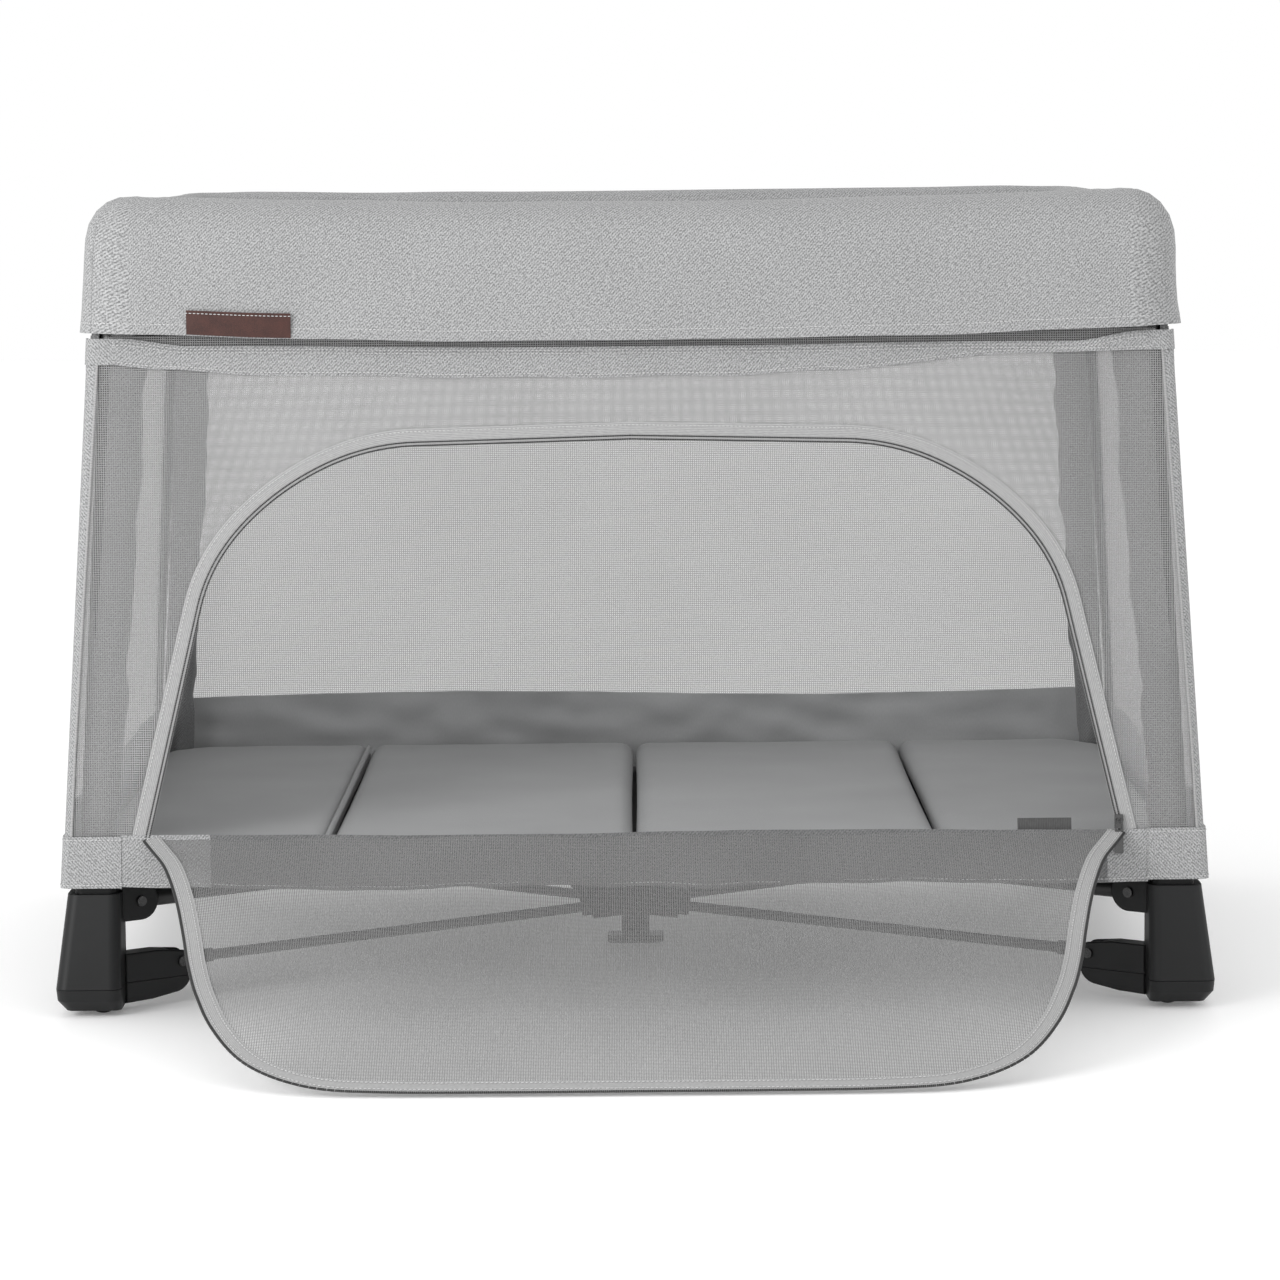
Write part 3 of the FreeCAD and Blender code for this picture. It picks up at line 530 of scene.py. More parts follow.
def cover_pieces(cloth, thread_cloth):
    """The cover in four lengths and four corners, with its hem stitching and a seam down each corner."""
    lines = {"x": steps(-COVER_CUT_X, COVER_CUT_X, 89), "y": steps(-COVER_CUT_Y, COVER_CUT_Y, 57)}
    for name, (along, sign, corner) in SIDES.items():
        line = lines[along][::-1] if (sign > 0) == (along == "x") else lines[along]
        rows = [[cover_side(name, c, z, o) for c in line] for o, z in COVER_PROFILE]
        piece = sheet_grid(f"cover_{name}", rows, cloth, 2.4, (lines[along][0], 0))
        put(piece, f"leg_{corner}", f"cover_{along}")
        if name == "front":
            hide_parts("top_cover")
    shares = steps(0, 1, 29)
    for corner, (sx, sy) in CORNERS.items():
        rows = []
        for o, z in COVER_PROFILE:
            ring = [ring_point(o, s) for s in shares]
            if sx * sy > 0:
                ring = ring[::-1]
            rows.append([cover_point(x * sx, y * sy, z, o) for x, y in ring])
        begin = COVER_CUT_X if sx * sy < 0 else -COVER_CUT_X - 130
        piece = sheet_grid(f"cover_corner_{corner}", rows, cloth, 2.4, (begin, 0))
        put(piece, f"leg_{corner}")
    for name, (along, sign, corner) in SIDES.items():
        out = Vector((0, sign, 0) if along == "x" else (sign, 0, 0))
        path = [cover_side(name, c, HEM_Z, HEM_OUT) + out * 1.2 for c in lines[along]]
        line = stitches(f"cover_hem_stitch_{name}", path, [out] * len(path), thread_cloth)
        put(line, f"leg_{corner}", f"cover_{along}")
    for corner, (sx, sy) in CORNERS.items():
        leg = f"leg_{corner}"
        ring = [ring_point(HEM_OUT, s) for s in shares]
        path = [cover_point(x * sx, y * sy, HEM_Z, HEM_OUT) for x, y in ring]
        normals = outward(path, (sx * (COVER_X - 60), sy * (COVER_Y - 60)))
        path = [p + n * 1.2 for p, n in zip(path, normals)]
        put(stitches(f"cover_hem_stitch_{corner}", path, normals, thread_cloth), leg)
        seam = []
        for o, z in COVER_PROFILE[:12]:
            x, y = ring_point(o, 0.52)
            seam.append(cover_point(x * sx, y * sy, z, o) + Vector((sx * 0.7, sy * 0.7, 0.4)))
        put(tube(f"cover_seam_{corner}", seam, 0.9, cloth, 6), leg)


# ---------- walls

def front_surface(x, z, out=0.0, sy=-1):
    """A point on the front or rear wall's cloth. out is how far outside the mesh it lies."""
    pull = 1 - min(1.0, abs(x) / at_height(PIPING_X, z)) ** 4
    slack = wrinkle(x * 0.6, 40 * sy, z * 0.5, 150, 2.0) * pull
    return Vector((x, sy * (at_height(FRONT_Y, z) + out + slack), z))


def side_surface(y, z, out=0.0, sx=-1):
    pull = 1 - min(1.0, abs(y) / at_height(FRONT_Y, z)) ** 4
    inward = 3.0 * pull * math.sin(math.pi * min(1, max(0, (z - 150) / 470)))
    slack = wrinkle(40 * sx, y * 0.6, z * 0.5, 140, 2.0) * pull - inward
    return Vector((sx * (at_height(SIDE_X, z) + out + slack), y, z))


def corner_path(z, out=0.0, reach=24.0):
    """Points round the rear right corner at height z, from the long wall's piping to the short wall's."""
    sx, sy = at_height(SIDE_X, z), at_height(FRONT_Y, z)
    radius = max(sx - at_height(PIPING_X, z), 6.0)
    points = []
    for i in range(8):
        turn = math.pi / 2 * (1 - i / 7)
        points.append(Vector((sx - radius + (radius + out) * math.cos(turn),
                              sy - radius + (radius + out) * math.sin(turn), z)))
    for i in range(1, 4):
        points.append(Vector((sx + out, sy - radius - reach * i / 3, z)))
    return points


def arch_path(grow=0.0, pitch=9.0):
    """(x, z) along the door's arch from the left end of the sill, over, to the right end."""
    dx, dz = DOOR_HALF - ARCH_C[0], DOOR_SILL - ARCH_C[1]
    turn = math.atan2(dz, dx) + math.acos(ARCH_R / math.hypot(dx, dz))
    radius = ARCH_R + grow
    tx, tz = ARCH_C[0] + radius * math.cos(turn), ARCH_C[1] + radius * math.sin(turn)
    half = DOOR_HALF + grow * 1.02
    right = [(lerp(half, tx, i / 16), lerp(DOOR_SILL, tz, i / 16)) for i in range(16)]
    arc = int((math.pi / 2 - turn) * radius / pitch)
    for i in range(arc + 1):
        a = lerp(turn, math.pi / 2, i / arc)
        right.append((ARCH_C[0] + radius * math.cos(a), ARCH_C[1] + radius * math.sin(a)))
    top = int(ARCH_C[0] / pitch)
    right += [(lerp(ARCH_C[0], 0, i / top), ARCH_C[1] + radius) for i in range(1, top + 1)]
    right = [(x, z - lerp(5, 12, min(1.0, x / 300)) * smooth((z - 380) / 140)) for x, z in right]
    left = [(-x, z) for x, z in right]
    return left + right[-2::-1]


def front_net_rows():
    """The front mesh, a grid from the arch out to the wall's edges."""
    arch = arch_path(1.0)
    outer = [wall_border(i / (len(arch) - 1), x) for i, (x, z) in enumerate(arch)]
    return [[front_surface(lerp(a[0], b[0], t), lerp(a[1], b[1], t)) for a, b in zip(arch, outer)]
            for t in steps(0, 1, 13)]


def rear_net_rows():
    rows = []
    for z in steps(150, WALL_TOP, 40):
        half = at_height(PIPING_X, z)
        rows.append([front_surface(x, z, 0, 1) for x in steps(-half, half, 60)][::-1])
    return rows


def side_net_rows(sx):
    """A side's mesh. It starts further from the front corner, where the strip is wider."""
    rows = []
    for z in steps(150, WALL_TOP, 34):
        half = at_height(FRONT_Y, z)
        row = [side_surface(y, z, 0, sx) for y in steps(26 - half, half - 20, 44)]
        rows.append(row if sx > 0 else row[::-1])
    return rows


def wall_border(share, x):
    """The wall's edge across from a point of the arch: up the left edge, along the top, down the right."""
    side = 1 if x > 0 else -1
    half_share = share * 2 if share < 0.5 else (1 - share) * 2
    side_part = 0.56
    if half_share < side_part:
        height = lerp(150, WALL_TOP, half_share / side_part)
        return side * at_height(PIPING_X, height), height
    along = (half_share - side_part) / (1 - side_part)
    return side * at_height(PIPING_X, WALL_TOP) * (1 - along), WALL_TOP


# heights of the front bands' edges at places along the wall
UPPER_EDGE = ((-505, 608), (-430, 601), (-343, 595), (-100, 591), (60, 591), (200, 596), (341, 609),
              (505, 612))
LOWER_EDGE = ((-505, 123), (-400, 121), (-250, 117.5), (-90, 121), (60, 118), (220, 121), (380, 118.5),
              (505, 120))
UPPER_TOP = ((-505, 630.5), (-474, 630), (-405, 622.5), (-100, 619), (100, 619), (330, 621), (410, 620.5),
             (474, 629.5), (505, 630))


def upper_low(x):
    return through(UPPER_EDGE, x) + wrinkle(x, 7, 0, 70, 1.6)


def upper_high(x):
    return through(UPPER_TOP, x)


def lower_low(x):
    return through(LOWER_EDGE, x) + wrinkle(x, 3, 0, 48, 2.2)


def lower_high(x):
    return 169.5 + 1.2 * math.sin(x / 90)


def lining_high(x):
    return 210 - 3 * math.sin(x / 130)


def level(z):
    return lambda x: z


def band_rows(ends, count, low, high, levels, sy, out, amount, size=60.0):
    """Rows of a band on the front or rear wall, between two edges, with its folds."""
    rows = []
    for t in steps(0, 1, levels):
        row = []
        for x in steps(*ends, count):
            z = lerp(low(x), high(x), t)
            fold = amount * (noise.noise(Vector((x / size, z / (size * 0.35), 3.3 * sy)))
                             + 0.5 * noise.noise(Vector((x / (size * 0.4), z / 20.0, 9.1))))
            end = smooth(min(abs(x - ends[0]), abs(x - ends[1])) / 25)
            row.append(front_surface(x, z, out + fold * end, sy))
        rows.append(row if sy < 0 else row[::-1])
    return rows


def side_band_rows(low, high, levels, sx, out, amount, half=BAND_SPLIT_Y):
    rows = []
    for z in steps(low, high, levels):
        row = []
        for y in steps(-half, half, 49):
            end = smooth((half - abs(y)) / 25)
            fold = amount * noise.noise(Vector((y / 55, z / 21, 5.5 * sx)))
            row.append(side_surface(y, z, out + fold * end, sx))
        rows.append(row if sx > 0 else row[::-1])
    return rows


def corner_band_rows(low, high, levels, out):
    """Rows round the rear right corner, from BAND_SPLIT to BAND_SPLIT_Y."""
    rows = []
    for z in steps(low, high, levels):
        bend = corner_path(z, out)[:8]
        x, y = at_height(SIDE_X, z) + out, at_height(FRONT_Y, z) + out
        lead = [Vector((lerp(BAND_SPLIT, bend[0].x, i / 4), y, z)) for i in range(4)]
        tail = [Vector((x, lerp(bend[7].y, BAND_SPLIT_Y, i / 4), z)) for i in range(1, 5)]
        rows.append(lead + bend + tail)
    return rows


# ---------- door flap

# the flap's outline: half its width at distances from its hinge
FLAP_SIDE = ((443, 0), (421, 45), (404, 100), (393, 150), (384, 200), (372, 252), (354, 303), (323, 347),
             (274, 375), (213, 382.5), (120, 384), (0, 384))


def spline(points, fine):
    """A smooth curve through points, with fine steps between each two."""
    ends = [points[0]] + list(points) + [points[-1]]
    found = []
    for a, b, c, d in zip(ends, ends[1:], ends[2:], ends[3:]):
        for k in range(fine):
            t = k / fine
            found.append(tuple(0.5 * (2 * q + (r - p) * t + (2 * p - 5 * q + 4 * r - o) * t * t
                                      + (3 * q - p - 3 * r + o) * t ** 3) for p, q, r, o in zip(a, b, c, d)))
    return found + [points[-1]]


def flap_half(t):
    """Half the flap's width at distance t from its hinge."""
    for (w0, t0), (w1, t1) in zip(FLAP_SIDE, FLAP_SIDE[1:]):
        if t <= t1:
            return lerp(w0, w1, (t - t0) / (t1 - t0))
    return 0.0


def flap_surface(x, t, out=0.0):
    """A point on the open flap, sagging between its tape edges."""
    edge = min(1.0, abs(x) / max(40.0, flap_half(min(t, 300))))
    slack = 9.0 * (1 - edge ** 4) * math.sin(math.pi * min(1.0, t / FLAP_LENGTH)) ** 0.8
    ripple = wrinkle(x * 0.8, t, 3, 85, 5.0) * math.sin(math.pi * min(1, t / FLAP_LENGTH))
    curl = 5.0 * edge ** 6 * math.sin(3.1 * math.pi * t / FLAP_LENGTH) * smooth(t / 60)
    y = HINGE_Y - t * math.cos(FLAP_SLOPE)
    z = HINGE_Z - t * math.sin(FLAP_SLOPE)
    lift = out - slack * (z / HINGE_Z) + ripple * 0.5 + curl * min(1.0, z / 60)
    return Vector((x, y - 1.5 - lift * math.sin(FLAP_SLOPE), max(2.0, z + lift * math.cos(FLAP_SLOPE))))


def flap_pieces(net_material, tape_material, coil_material, thread_material):
    right = spline(FLAP_SIDE, 8)
    outline = [(-x, t) for x, t in right] + right[-2::-1]
    rows = [[flap_surface(lerp(x, x * 0.05, k / 14), t * (1 - k / 14)) for x, t in outline]
            for k in range(15)]
    net_obj = sheet_grid("flap_net", rows, net_material, 0)
    lay_uvs(net_obj, lambda co: (co.x, -co.y / math.cos(FLAP_SLOPE)))
    path = [flap_surface(x, t, 0.8) for x, t in outline]
    normals = [FLAP_NORMAL] * len(path)
    trim = [ribbon("flap_tape", path, normals, 16, 1.4, tape_material, 5.0),
            stitches("flap_tape_stitch", path, normals, thread_material, 0.5, 1.6),
            stitches("flap_tape_stitch_outer", path, normals, thread_material, 9.5, 1.5),
            coil("flap_coil", path, normals, coil_material, 13.0, 2.6)]
    for obj in [net_obj] + trim:
        put(obj, "door_flap", squash="net_x")
    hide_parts("door_flap")


# ---------- mattress

PAD_HALF, PAD_LOW, PAD_HIGH, PAD_CUT, PAD_ROUND = 340.0, 130.5, 160.0, 50.0, 15.0


def mattress_pad(name, x0, x1, end_side, material):
    """A thin foam pad in its cover: rounded edges, a low crown and sides that pull in between corners.
    end_side is the side with cut corners: -1 left, 1 right, 0 neither."""
    mid, thick = (PAD_LOW + PAD_HIGH) / 2, (PAD_HIGH - PAD_LOW) / 2
    columns = [0.5 - 0.5 * math.cos(math.pi * i / 30) for i in range(31)]
    lines = [0.5 - 0.5 * math.cos(math.pi * i / 44) for i in range(45)]
    verts, faces, uvs = [], [], []
    for top in (1, -1):
        faces += [face[::top] for face in grid_faces(len(columns), len(lines), len(verts))]
        for v in lines:
            for u in columns:
                x, y = lerp(x0, x1, u), lerp(-PAD_HALF, PAD_HALF, v)
                from_end = {-1: x - x0, 1: x1 - x, 0: PAD_CUT}[end_side]
                if from_end < PAD_CUT:
                    y *= (PAD_HALF - (PAD_CUT - from_end)) / PAD_HALF
                y -= math.copysign(3.0 * math.sin(math.pi * u) * abs(2 * v - 1) ** 6, y)
                x += (1.5 if u < 0.5 else -1.5) * abs(2 * u - 1) ** 8 * math.sin(math.pi * v)
                edge = 1.0
                for d in (min(u, 1 - u) * (x1 - x0), min(v, 1 - v) * 2 * PAD_HALF):
                    edge *= math.sqrt(max(0.0, 1 - (1 - min(1.0, d / PAD_ROUND)) ** 2))
                z = mid + top * thick * edge
                if top > 0:
                    crown = 2.4 * math.sin(math.pi * u) ** 0.6 * math.sin(math.pi * v) ** 0.5
                    z += (crown + wrinkle(x, y, 1, 85, 1.3) + wrinkle(x, y, 4, 26, 0.35)) * edge - 1.4 * edge
                verts.append(Vector((x, y, z)))
                uvs.append((x * MM, y * MM))
    obj = mesh_object(name, verts, faces, material, uvs)
    obj.modifiers.new("weld", "WELD").merge_threshold = 0.0001
    return obj


# ---------- assembly

def piece(name, rows, cloth, body, squash, size, on, thick=1.6):
    """A sheet of cloth on its body, with its flat size in mm; on, the piece or node that it lies on, is not
    used.
    """
    obj = put(sheet_grid(name, rows, cloth, thick), body, squash=squash)
    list(size)


def build(frame):
    light = heather("heather_light", grey(0.155, -0.008), grey(0.43, -0.006), 1.25)
    shade = heather("heather_shade", grey(0.085, -0.008), grey(0.20, -0.008))
    sleeve_cloth = heather("heather_sleeve", grey(0.105, -0.008), grey(0.25, -0.008))
    front_net = net("net_front", grey(0.30), 0.36, 0.10, 0.92)
    rear_net = net("net_rear", grey(0.30), 0.40, 0.42, 0.78)
    side_net = net("net_side", grey(0.19), 0.40, 0.55, 0.86)
    flap_net = net("net_flap", grey(0.21), 0.34, 0.24, 0.90)
    pad_cloth = plain_weave("pad_cloth", grey(0.235, -0.012), grey(0.305, -0.012))
    lining = plain_weave("lining", grey(0.35, -0.01), grey(0.47, -0.01))
    # near black: painted shade for the gap under the cover's hem
    painted_shade_lining = plain_weave("painted_shade_lining", grey(0.022), grey(0.042), sheen=0.0)
    floor_cloth = plain_weave("floor_cloth", grey(0.06), grey(0.09))
    light_tape = tape("light_tape", grey(0.24), grey(0.40))
    dark_tape = tape("dark_tape", grey(0.05), grey(0.10))
    coil_grey = moulded("coil_grey", grey(0.02), grey(0.06), (0.4, 0.5), 900)
    thread_light = thread("thread_light", grey(0.66))
    tag_leather = leather("tag_leather", (0.024, 0.0065, 0.0045), (0.072, 0.022, 0.015))
    plastic = moulded("black_plastic", grey(0.004, -0.04), grey(0.019, -0.04), (0.4, 0.55))
    hub_plastic = moulded("hub_plastic", grey(0.006), grey(0.024))
    steel = metal("steel", grey(0.09))
    nickel = metal("nickel", grey(0.10), (0.22, 0.34))
    tube_paint = coated_tube("tube_paint", grey(0.014), grey(0.026))
    wheel_plastic = moulded("wheel_plastic", grey(0.012), grey(0.05), (0.3, 0.45))
    pad_rubber = rubber("pad_rubber")

    finishes = ((plastic, "foot_", "top_corner", "hinge_block"), (steel, "hub_pins", "leg_pins"),
                (hub_plastic, "hub_", "center_foot"),
                (tube_paint, "post_", "lower_strut", "upper_strut", "long_rail", "short_rail"),
                (wheel_plastic, "wheel_"), (pad_rubber, "glide_"), (nickel, "zip_"))
    for name, node in frame["nodes"].items():
        for material, *starts in finishes:
            if name.startswith(tuple(starts)):
                node.data.materials.clear()
                node.data.materials.append(material)
                break

    cover_pieces(light, thread_light)

    # front and rear: net, bands
    net_front = put(sheet_grid("net_front_wall", front_net_rows(), front_net, 0), "leg_fl", squash="net_x")
    lay_uvs(net_front, lambda co: (co.x, co.z))
    net_rear = put(sheet_grid("net_rear_wall", rear_net_rows(), rear_net, 0, (-520, 0)), "leg_rl",
                   squash="net_x")
    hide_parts("front_wall")
    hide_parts("enclosure_walls")
    whole = (-BAND_SPLIT, BAND_SPLIT)
    left, right = (-BAND_SPLIT, DOOR_SEAM[0]), (DOOR_SEAM[1], BAND_SPLIT)
    bands = (
        ("upper_band_front", light, (954, 38), (whole, 120, upper_low, upper_high, 9, -1, BAND_OUT, 1.3)),
        ("upper_band_rear", light, (954, 30), (whole, 80, level(600), upper_high, 7, 1, BAND_OUT, 1.0)),
        ("lower_band_left", light, (84, 52), (left, 16, lower_low, lower_high, 9, -1, BAND_OUT, 1.2)),
        ("lower_band_right", light, (40, 52), (right, 10, lower_low, lower_high, 9, -1, BAND_OUT, 1.2)),
        ("sill_panel", shade, (834, 52),
         (DOOR_SEAM, 130, lower_low, lower_high, 11, -1, BAND_OUT + 0.6, 4.2, 80)),
        ("lower_band_rear", light, (954, 50), (whole, 110, level(120), level(170), 9, 1, BAND_OUT, 1.6)),
        ("rear_lining", lining, (994, 84),
         ((-497, 497), 112, level(126), lining_high, 13, 1, -4.5, 4.5, 62)))
    for name, cloth, size, shape in bands:
        leg, wall = ("leg_fl", "net_front_wall") if shape[5] < 0 else ("leg_rl", "net_rear_wall")
        piece(name, band_rows(*shape), cloth, leg, "net_x" if cloth is lining else "band_x", size, wall)
    for name, sx in (("left", -1), ("right", 1)):
        corner, wall = SIDES[name][2], f"net_{name}_wall"
        leg = f"leg_{corner}"
        piece(wall, side_net_rows(sx), side_net, leg, "net_y", (690, 486), f"post_{corner}", 0)
        for title, cloth, squash, size, shape in (
                (f"lower_band_{name}_side", light, "band_y", (644, 50), (121, 170, 8, sx, BAND_OUT, 1.6)),
                (f"side_lining_{name}", lining, "net_y", (684, 72), (126, 198, 8, sx, -3.0, 3.2, 342)),
                (f"upper_band_{name}", light, "band_y", (644, 26), (600, 625, 6, sx, BAND_OUT, 1.0))):
            piece(title, side_band_rows(*shape), cloth, leg, squash, size, wall)

    # corners: strips, piping, linings, bands, sleeves
    for corner, (sx, sy) in CORNERS.items():
        leg, post, strip = f"leg_{corner}", f"post_{corner}", f"corner_strip_{corner}"
        reach = 24 if sy < 0 else 3
        rows = [corner_path(z, 0.4, reach) for z in steps(150, 624, 42)]
        piece(strip, mirrored(rows, sx, sy), light, leg, None, (36 + reach, 474), post, 1.4)
        path = flip([corner_path(z, 1.2)[0] for z in steps(160, 612, 44)], sx, sy)
        put(tube(f"corner_piping_{corner}", path, 1.3, light_tape), leg)
        rows = [corner_path(z, -3.2, reach + 2) for z in steps(150, 636, 42)]
        piece(f"corner_lining_{corner}", mirrored(rows, sx, sy), sleeve_cloth, leg, None, (36 + reach, 486),
              post, 1.0)
        rows = corner_band_rows(upper_low(sx * BAND_SPLIT) if sy < 0 else 600, 630, 7, BAND_OUT)
        piece(f"upper_band_{corner}", mirrored(rows, sx, sy), light, leg, None, (52, 30), strip)
        rows = corner_band_rows(121.5, 169.5, 9, BAND_OUT + 0.4)
        piece(f"lower_band_{corner}", mirrored(rows, sx, sy), light, leg, None, (112, 48), strip, 1.8)
        for edge, tag in ((124.5, "low"), (166.5, "high")):
            path = flip(corner_band_rows(edge, edge + 1, 2, BAND_OUT + 1.5)[0], sx, sy)
            normals = outward(path, (sx * 470, sy * 315))
            put(stitches(f"lower_stitch_{tag}_{corner}", path, normals, thread_light), leg)
        piece(f"post_sleeve_{corner}", sleeve_rows(sx, sy), sleeve_cloth, leg, None, (118, 508), post, 1.0)

    # stitching and seams on the front bands
    lines = (("upper_stitch_top", BAND_SPLIT, upper_high, -3),
             ("upper_stitch_top_b", BAND_SPLIT, upper_high, -6),
             ("upper_stitch_low", BAND_SPLIT, upper_low, 3),
             ("lower_stitch_low", BAND_SPLIT, lower_low, 3.5),
             ("lower_stitch_high", -440, lower_high, -3))
    for name, end, height, rise in lines:
        path = [front_surface(x, height(x) + rise, BAND_OUT + 1.9) for x in steps(-BAND_SPLIT, end, 160)]
        put(stitches(name, path, [FORWARD] * len(path), thread_light, lift=0.1), "leg_fl", squash="band_x")
    for name, x in zip(("split_l", "split_r", "door_l", "door_r"), whole + DOOR_SEAM):
        path = [front_surface(x, z, BAND_OUT + 1.0) for z in steps(121, 169, 9)]
        put(tube(f"seam_{name}", path, 0.8, light, 6), "leg_fl", squash="band_x")

    # cloth that closes the gap from the upper bands to the rails, each side of the hinge blocks; its
    # near-black colour is painted shade for the shadowed gap under the hem
    for side, (along, sign, corner) in SIDES.items():
        long_side = along == "x"
        low, deep = (337.2, 333.6) if long_side else (494.2, 490.6)
        length, rail = (381, "long_rail_") if long_side else (223, "short_rail_")
        for end, tag in ((-1, "low"), (1, "high")):
            rows = []
            for t in steps(0, 1, 6):
                row, z = [], lerp(615, 688, t)
                for c in steps(end * 67, end * (67 + length), 36):
                    away = sign * (lerp(low, deep, t) + wrinkle(c, t * 40, 2, 60, 1.6))
                    row.append(Vector((c, away, z) if long_side else (away, c, z)))
                rows.append(row)
            piece(f"rail_cloth_{side}_{tag}", rows, painted_shade_lining, f"leg_{corner}", f"rail_{along}",
                  (length, 74), rail + corner)

    # the rounded lower lip of each hinge block, seen under the hem
    for side in SIDES:
        put(hinge_lip(side, plastic), f"hinge_block_{side}")

    # door: tape and coil round the arch
    path = [front_surface(x, z, 1.2) for x, z in arch_path(5.5)]
    normals = [Vector((0, -1, 0.07)).normalized()] * len(path)
    for obj in (ribbon("arch_tape", path, normals, 12, 1.2, light_tape),
                stitches("arch_stitch", path, normals, thread_light, -3.2, 1.3),
                ribbon("arch_coil_tape", path, normals, 5.6, 1.0, light_tape, 8.0),
                coil("arch_coil", path, normals, coil_grey, 6.7, 1.5),
                coil("arch_coil_inner", path, normals, coil_grey, 9.9, 1.5)):
        put(obj, "leg_fl", squash="net_x")
    flap_pieces(flap_net, light_tape, coil_grey, thread_light)

    # mattress
    gap = 0.9
    pads = ((-512, -288 - gap, -1), (-288 + gap, -gap, 0), (gap, 288 - gap, 0), (288 + gap, 512, 1))
    for i, (x0, x1, end_side) in enumerate(pads, 1):
        pad = mattress_pad(f"mattress_pad_{i}", x0, x1, end_side, pad_cloth)
        put(pad, f"mattress_{i}")
        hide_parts(f"mattress_{i}")
    path = [Vector((-290.2, y, 156.5 + wrinkle(0, y, 0, 90, 1.0))) for y in steps(-322, 322, 60)]
    put(tube("mattress_piping", path, 3.0, pad_cloth), "mattress_1")

    floor_gores(floor_cloth)
    leather_tag(tag_leather, thread_light, dark_tape)


def hinge_lip(side, material):
    """A closed shell that rounds off the bottom of a hinge block."""
    low, high = (Vector(v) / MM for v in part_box(f"hinge_block_{side}"))
    levels = ((low.z - 12, 5.0), (low.z - 10.5, 2.2), (low.z - 7, 0.4), (low.z + 0.2, 0.0))
    radius = 4.0
    verts = []
    for z, inset in levels:
        reach = inset + radius
        x0, x1, y0, y1 = low.x + reach, high.x - reach, low.y + reach, high.y - reach
        for cx, cy, start in ((x1, y1, 0), (x0, y1, 90), (x0, y0, 180), (x1, y0, 270)):
            for k in range(5):
                a = math.radians(start + 22.5 * k)
                verts.append(Vector((cx + radius * math.cos(a), cy + radius * math.sin(a), z)))
    return mesh_object(f"hinge_lip_{side}", verts, loft(0, 4, 20), material)


def sleeve_rows(sx, sy):
    """The cloth sleeve round a corner post, loose on its inner side."""
    rows = []
    for z in steps(132, 640, 64):
        cx, cy, wide = at_height(SLEEVE_X, z), at_height(SLEEVE_Y, z), at_height(SLEEVE_WIDE[sy], z)
        row = []
        for i in range(25):
            turn = 2 * math.pi * i / 24
            dx, dy = math.cos(turn), math.sin(turn)
            loose = 0.3 * noise.noise(Vector((dx * 1.3 + 7 * sx, dy * 1.3 + 5 * sy, z / 40)))
            loose += 0.1 * noise.noise(Vector((dx * 2.5 + 3 * sx, dy * 2.5, z / 14)))
            loose = 1 + loose * smooth((1.2 - dx - dy) / 1.2)
            row.append(Vector((sx * (cx + wide * dx * loose), sy * (cy + 19.5 * dy * loose), z)))
        rows.append(row if sx * sy > 0 else row[::-1])
    return rows


def floor_gores(cloth):
    """The fabric floor in four gores, each riding on its upper strut."""
    for corner, (sx, sy) in CORNERS.items():
        rows = []
        for y in steps(0, 367.5, 14):
            row = []
            for x in steps(0, 526.5, 18):
                notch = 30 * (max(0.0, (x - 478) / 48.5) * max(0.0, (y - 322) / 45.5)) ** 1.6
                row.append(Vector((sx * (x - notch), sy * (y - notch),
                                   126.3 + wrinkle(x * sx, y * sy, 0, 120, 0.9))))
            rows.append(row if sx * sy > 0 else row[::-1])
        obj = sheet_grid(f"floor_gore_{corner}", rows, cloth, 1.6)
        put(obj, f"upper_strut_{corner}")
        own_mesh(obj)
        if corner == "fl":
            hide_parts("floor_panel")


def leather_tag(material, thread_material, patch_material):
    """The tag sewn to the front hem, and a patch of hook tape inside the sill."""
    xs = steps(-408, -312, 30)
    rows = [[cover_point(x, -(COVER_Y + HEM_OUT + 0.4), z, HEM_OUT) + FORWARD * 2.4 for x in xs]
            for z in steps(636.5, 659, 9)]
    tag = put(sheet_grid("leather_tag", rows, material, 1.3), "leg_fl", "cover_x")
    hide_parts("label_tag")
    path = [p + Vector((0, -0.9, -2.6)) for p in rows[-1]]
    line = stitches("tag_stitch", path, [FORWARD] * len(path), thread_material)
    put(line, "leg_fl", "cover_x")
    rows = [[Vector((x, -364 + t * 3, 166 + t * 12)) for x in steps(357, 407, 8)] for t in steps(0, 1, 4)]
    piece("hook_patch", rows, patch_material, "leg_fl", "band_x", (50, 13), "sill_panel")


# ---------- studio

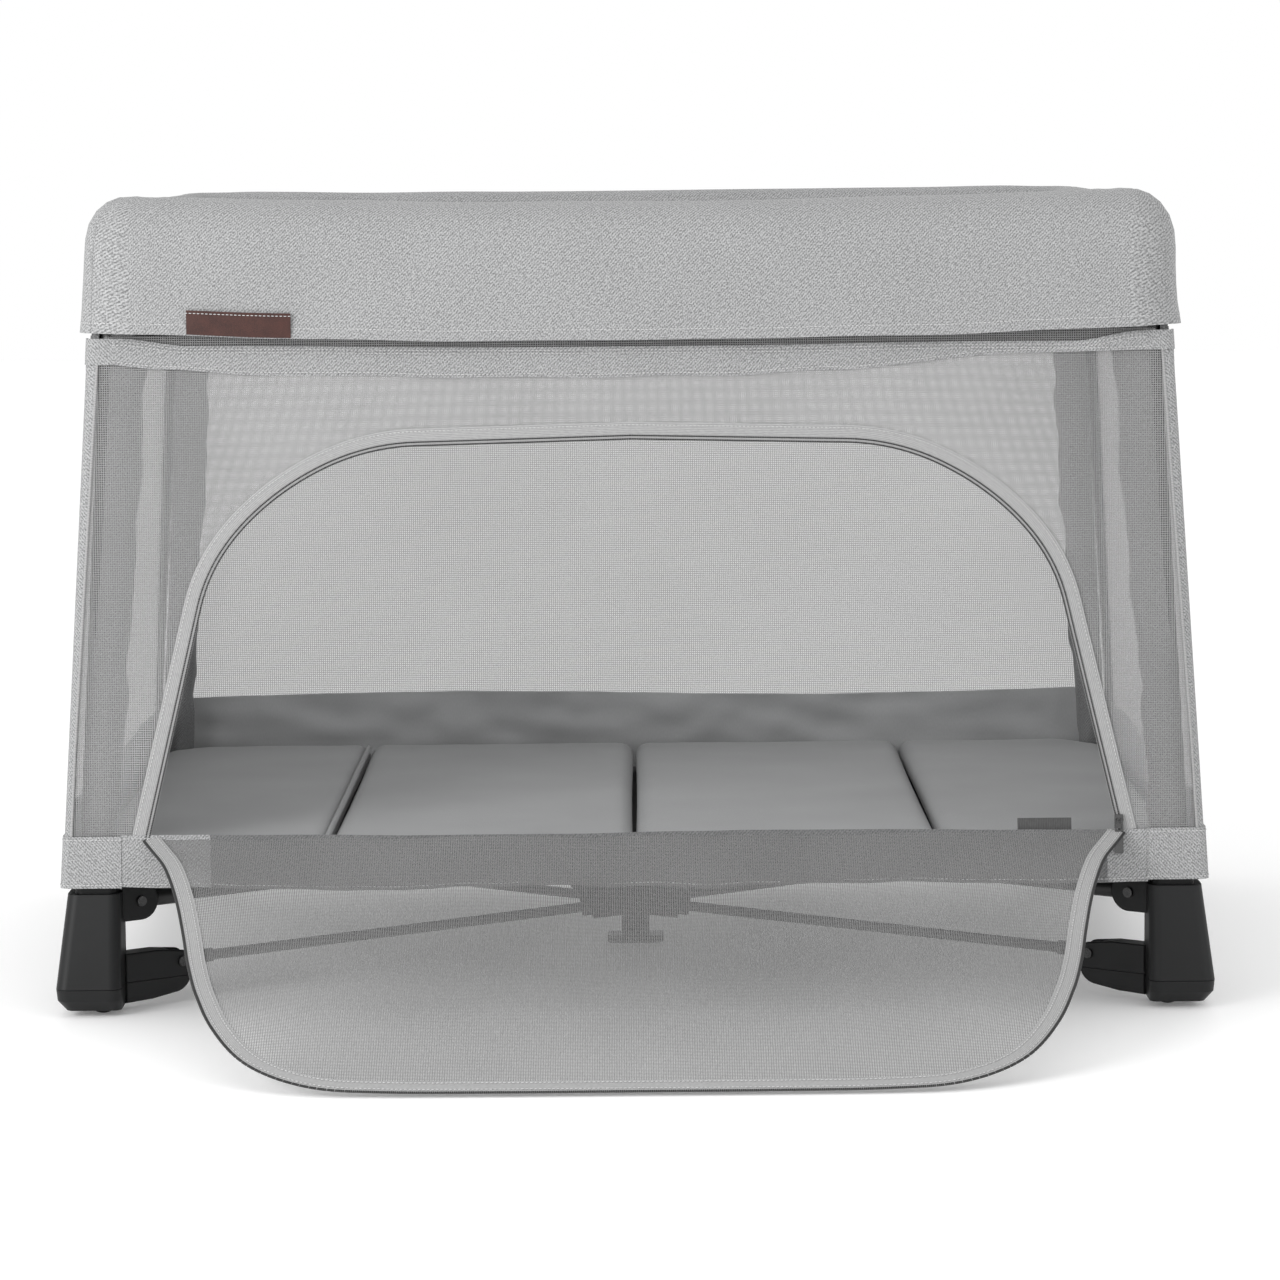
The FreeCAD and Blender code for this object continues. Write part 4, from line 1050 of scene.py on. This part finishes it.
def studio():
    world = bpy.data.worlds.new("studio")
    bpy.context.scene.world = world
    world.use_nodes = True
    sky = world.node_tree.nodes["Background"].inputs
    sky["Color"].default_value, sky["Strength"].default_value = (1, 1, 1, 1), 1.0
    for name, place, turn, size, power in (
            ("key", (-2.5, -2.9, 1.5), (72, 0, -41), 2.0, 75),
            ("right", (2.6, -2.4, 1.6), (70, 0, 46), 1.8, 10)):
        light = bpy.data.lights.new(name, "AREA")
        light.shape, light.size, light.energy = "DISK", size, power
        obj = show(name, light)
        obj.location = place
        obj.rotation_euler = Euler([math.radians(a) for a in turn])
    n = Nodes("floor_white", Roughness=0.55, Specular_IOR_Level=0.1, Emission_Color=(1, 1, 1, 1),
              Emission_Strength=0.12)
    tone = n.noise(n.coords("Object"), 1.5, 2)
    floor_white = n.finish(n.colours(tone, (0.3, grey(0.91)), (0.7, grey(0.93))))
    size = 14000
    corners = [Vector((x * size, y * size, 0)) for x, y in ((-1, -1), (1, -1), (1, 1), (-1, 1))]
    mesh_object("studio_floor", corners, [(0, 1, 2, 3)], floor_white)
    camera = bpy.data.cameras.new("camera")
    camera.lens, camera.sensor_width = 118.125, 36
    camera.clip_start, camera.clip_end = 0.1, 100
    obj = show("camera", camera)
    obj.location = (0.007, -4.23, 0.775)
    obj.rotation_mode = "QUATERNION"
    obj.rotation_quaternion = (Euler((math.radians(90 - 6.3), 0, 0)).to_quaternion()
                               @ Euler((0, 0, math.radians(-0.5))).to_quaternion())
    bpy.context.scene.camera = obj


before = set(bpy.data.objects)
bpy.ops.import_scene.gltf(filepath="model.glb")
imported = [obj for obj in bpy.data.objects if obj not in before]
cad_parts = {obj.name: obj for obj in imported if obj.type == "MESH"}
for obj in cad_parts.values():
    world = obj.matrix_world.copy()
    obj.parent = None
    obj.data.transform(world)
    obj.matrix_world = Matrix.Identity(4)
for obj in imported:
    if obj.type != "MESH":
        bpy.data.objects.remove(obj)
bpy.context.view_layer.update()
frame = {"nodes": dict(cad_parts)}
bpy.context.scene.view_settings.view_transform = "Standard"
build(frame)
studio()
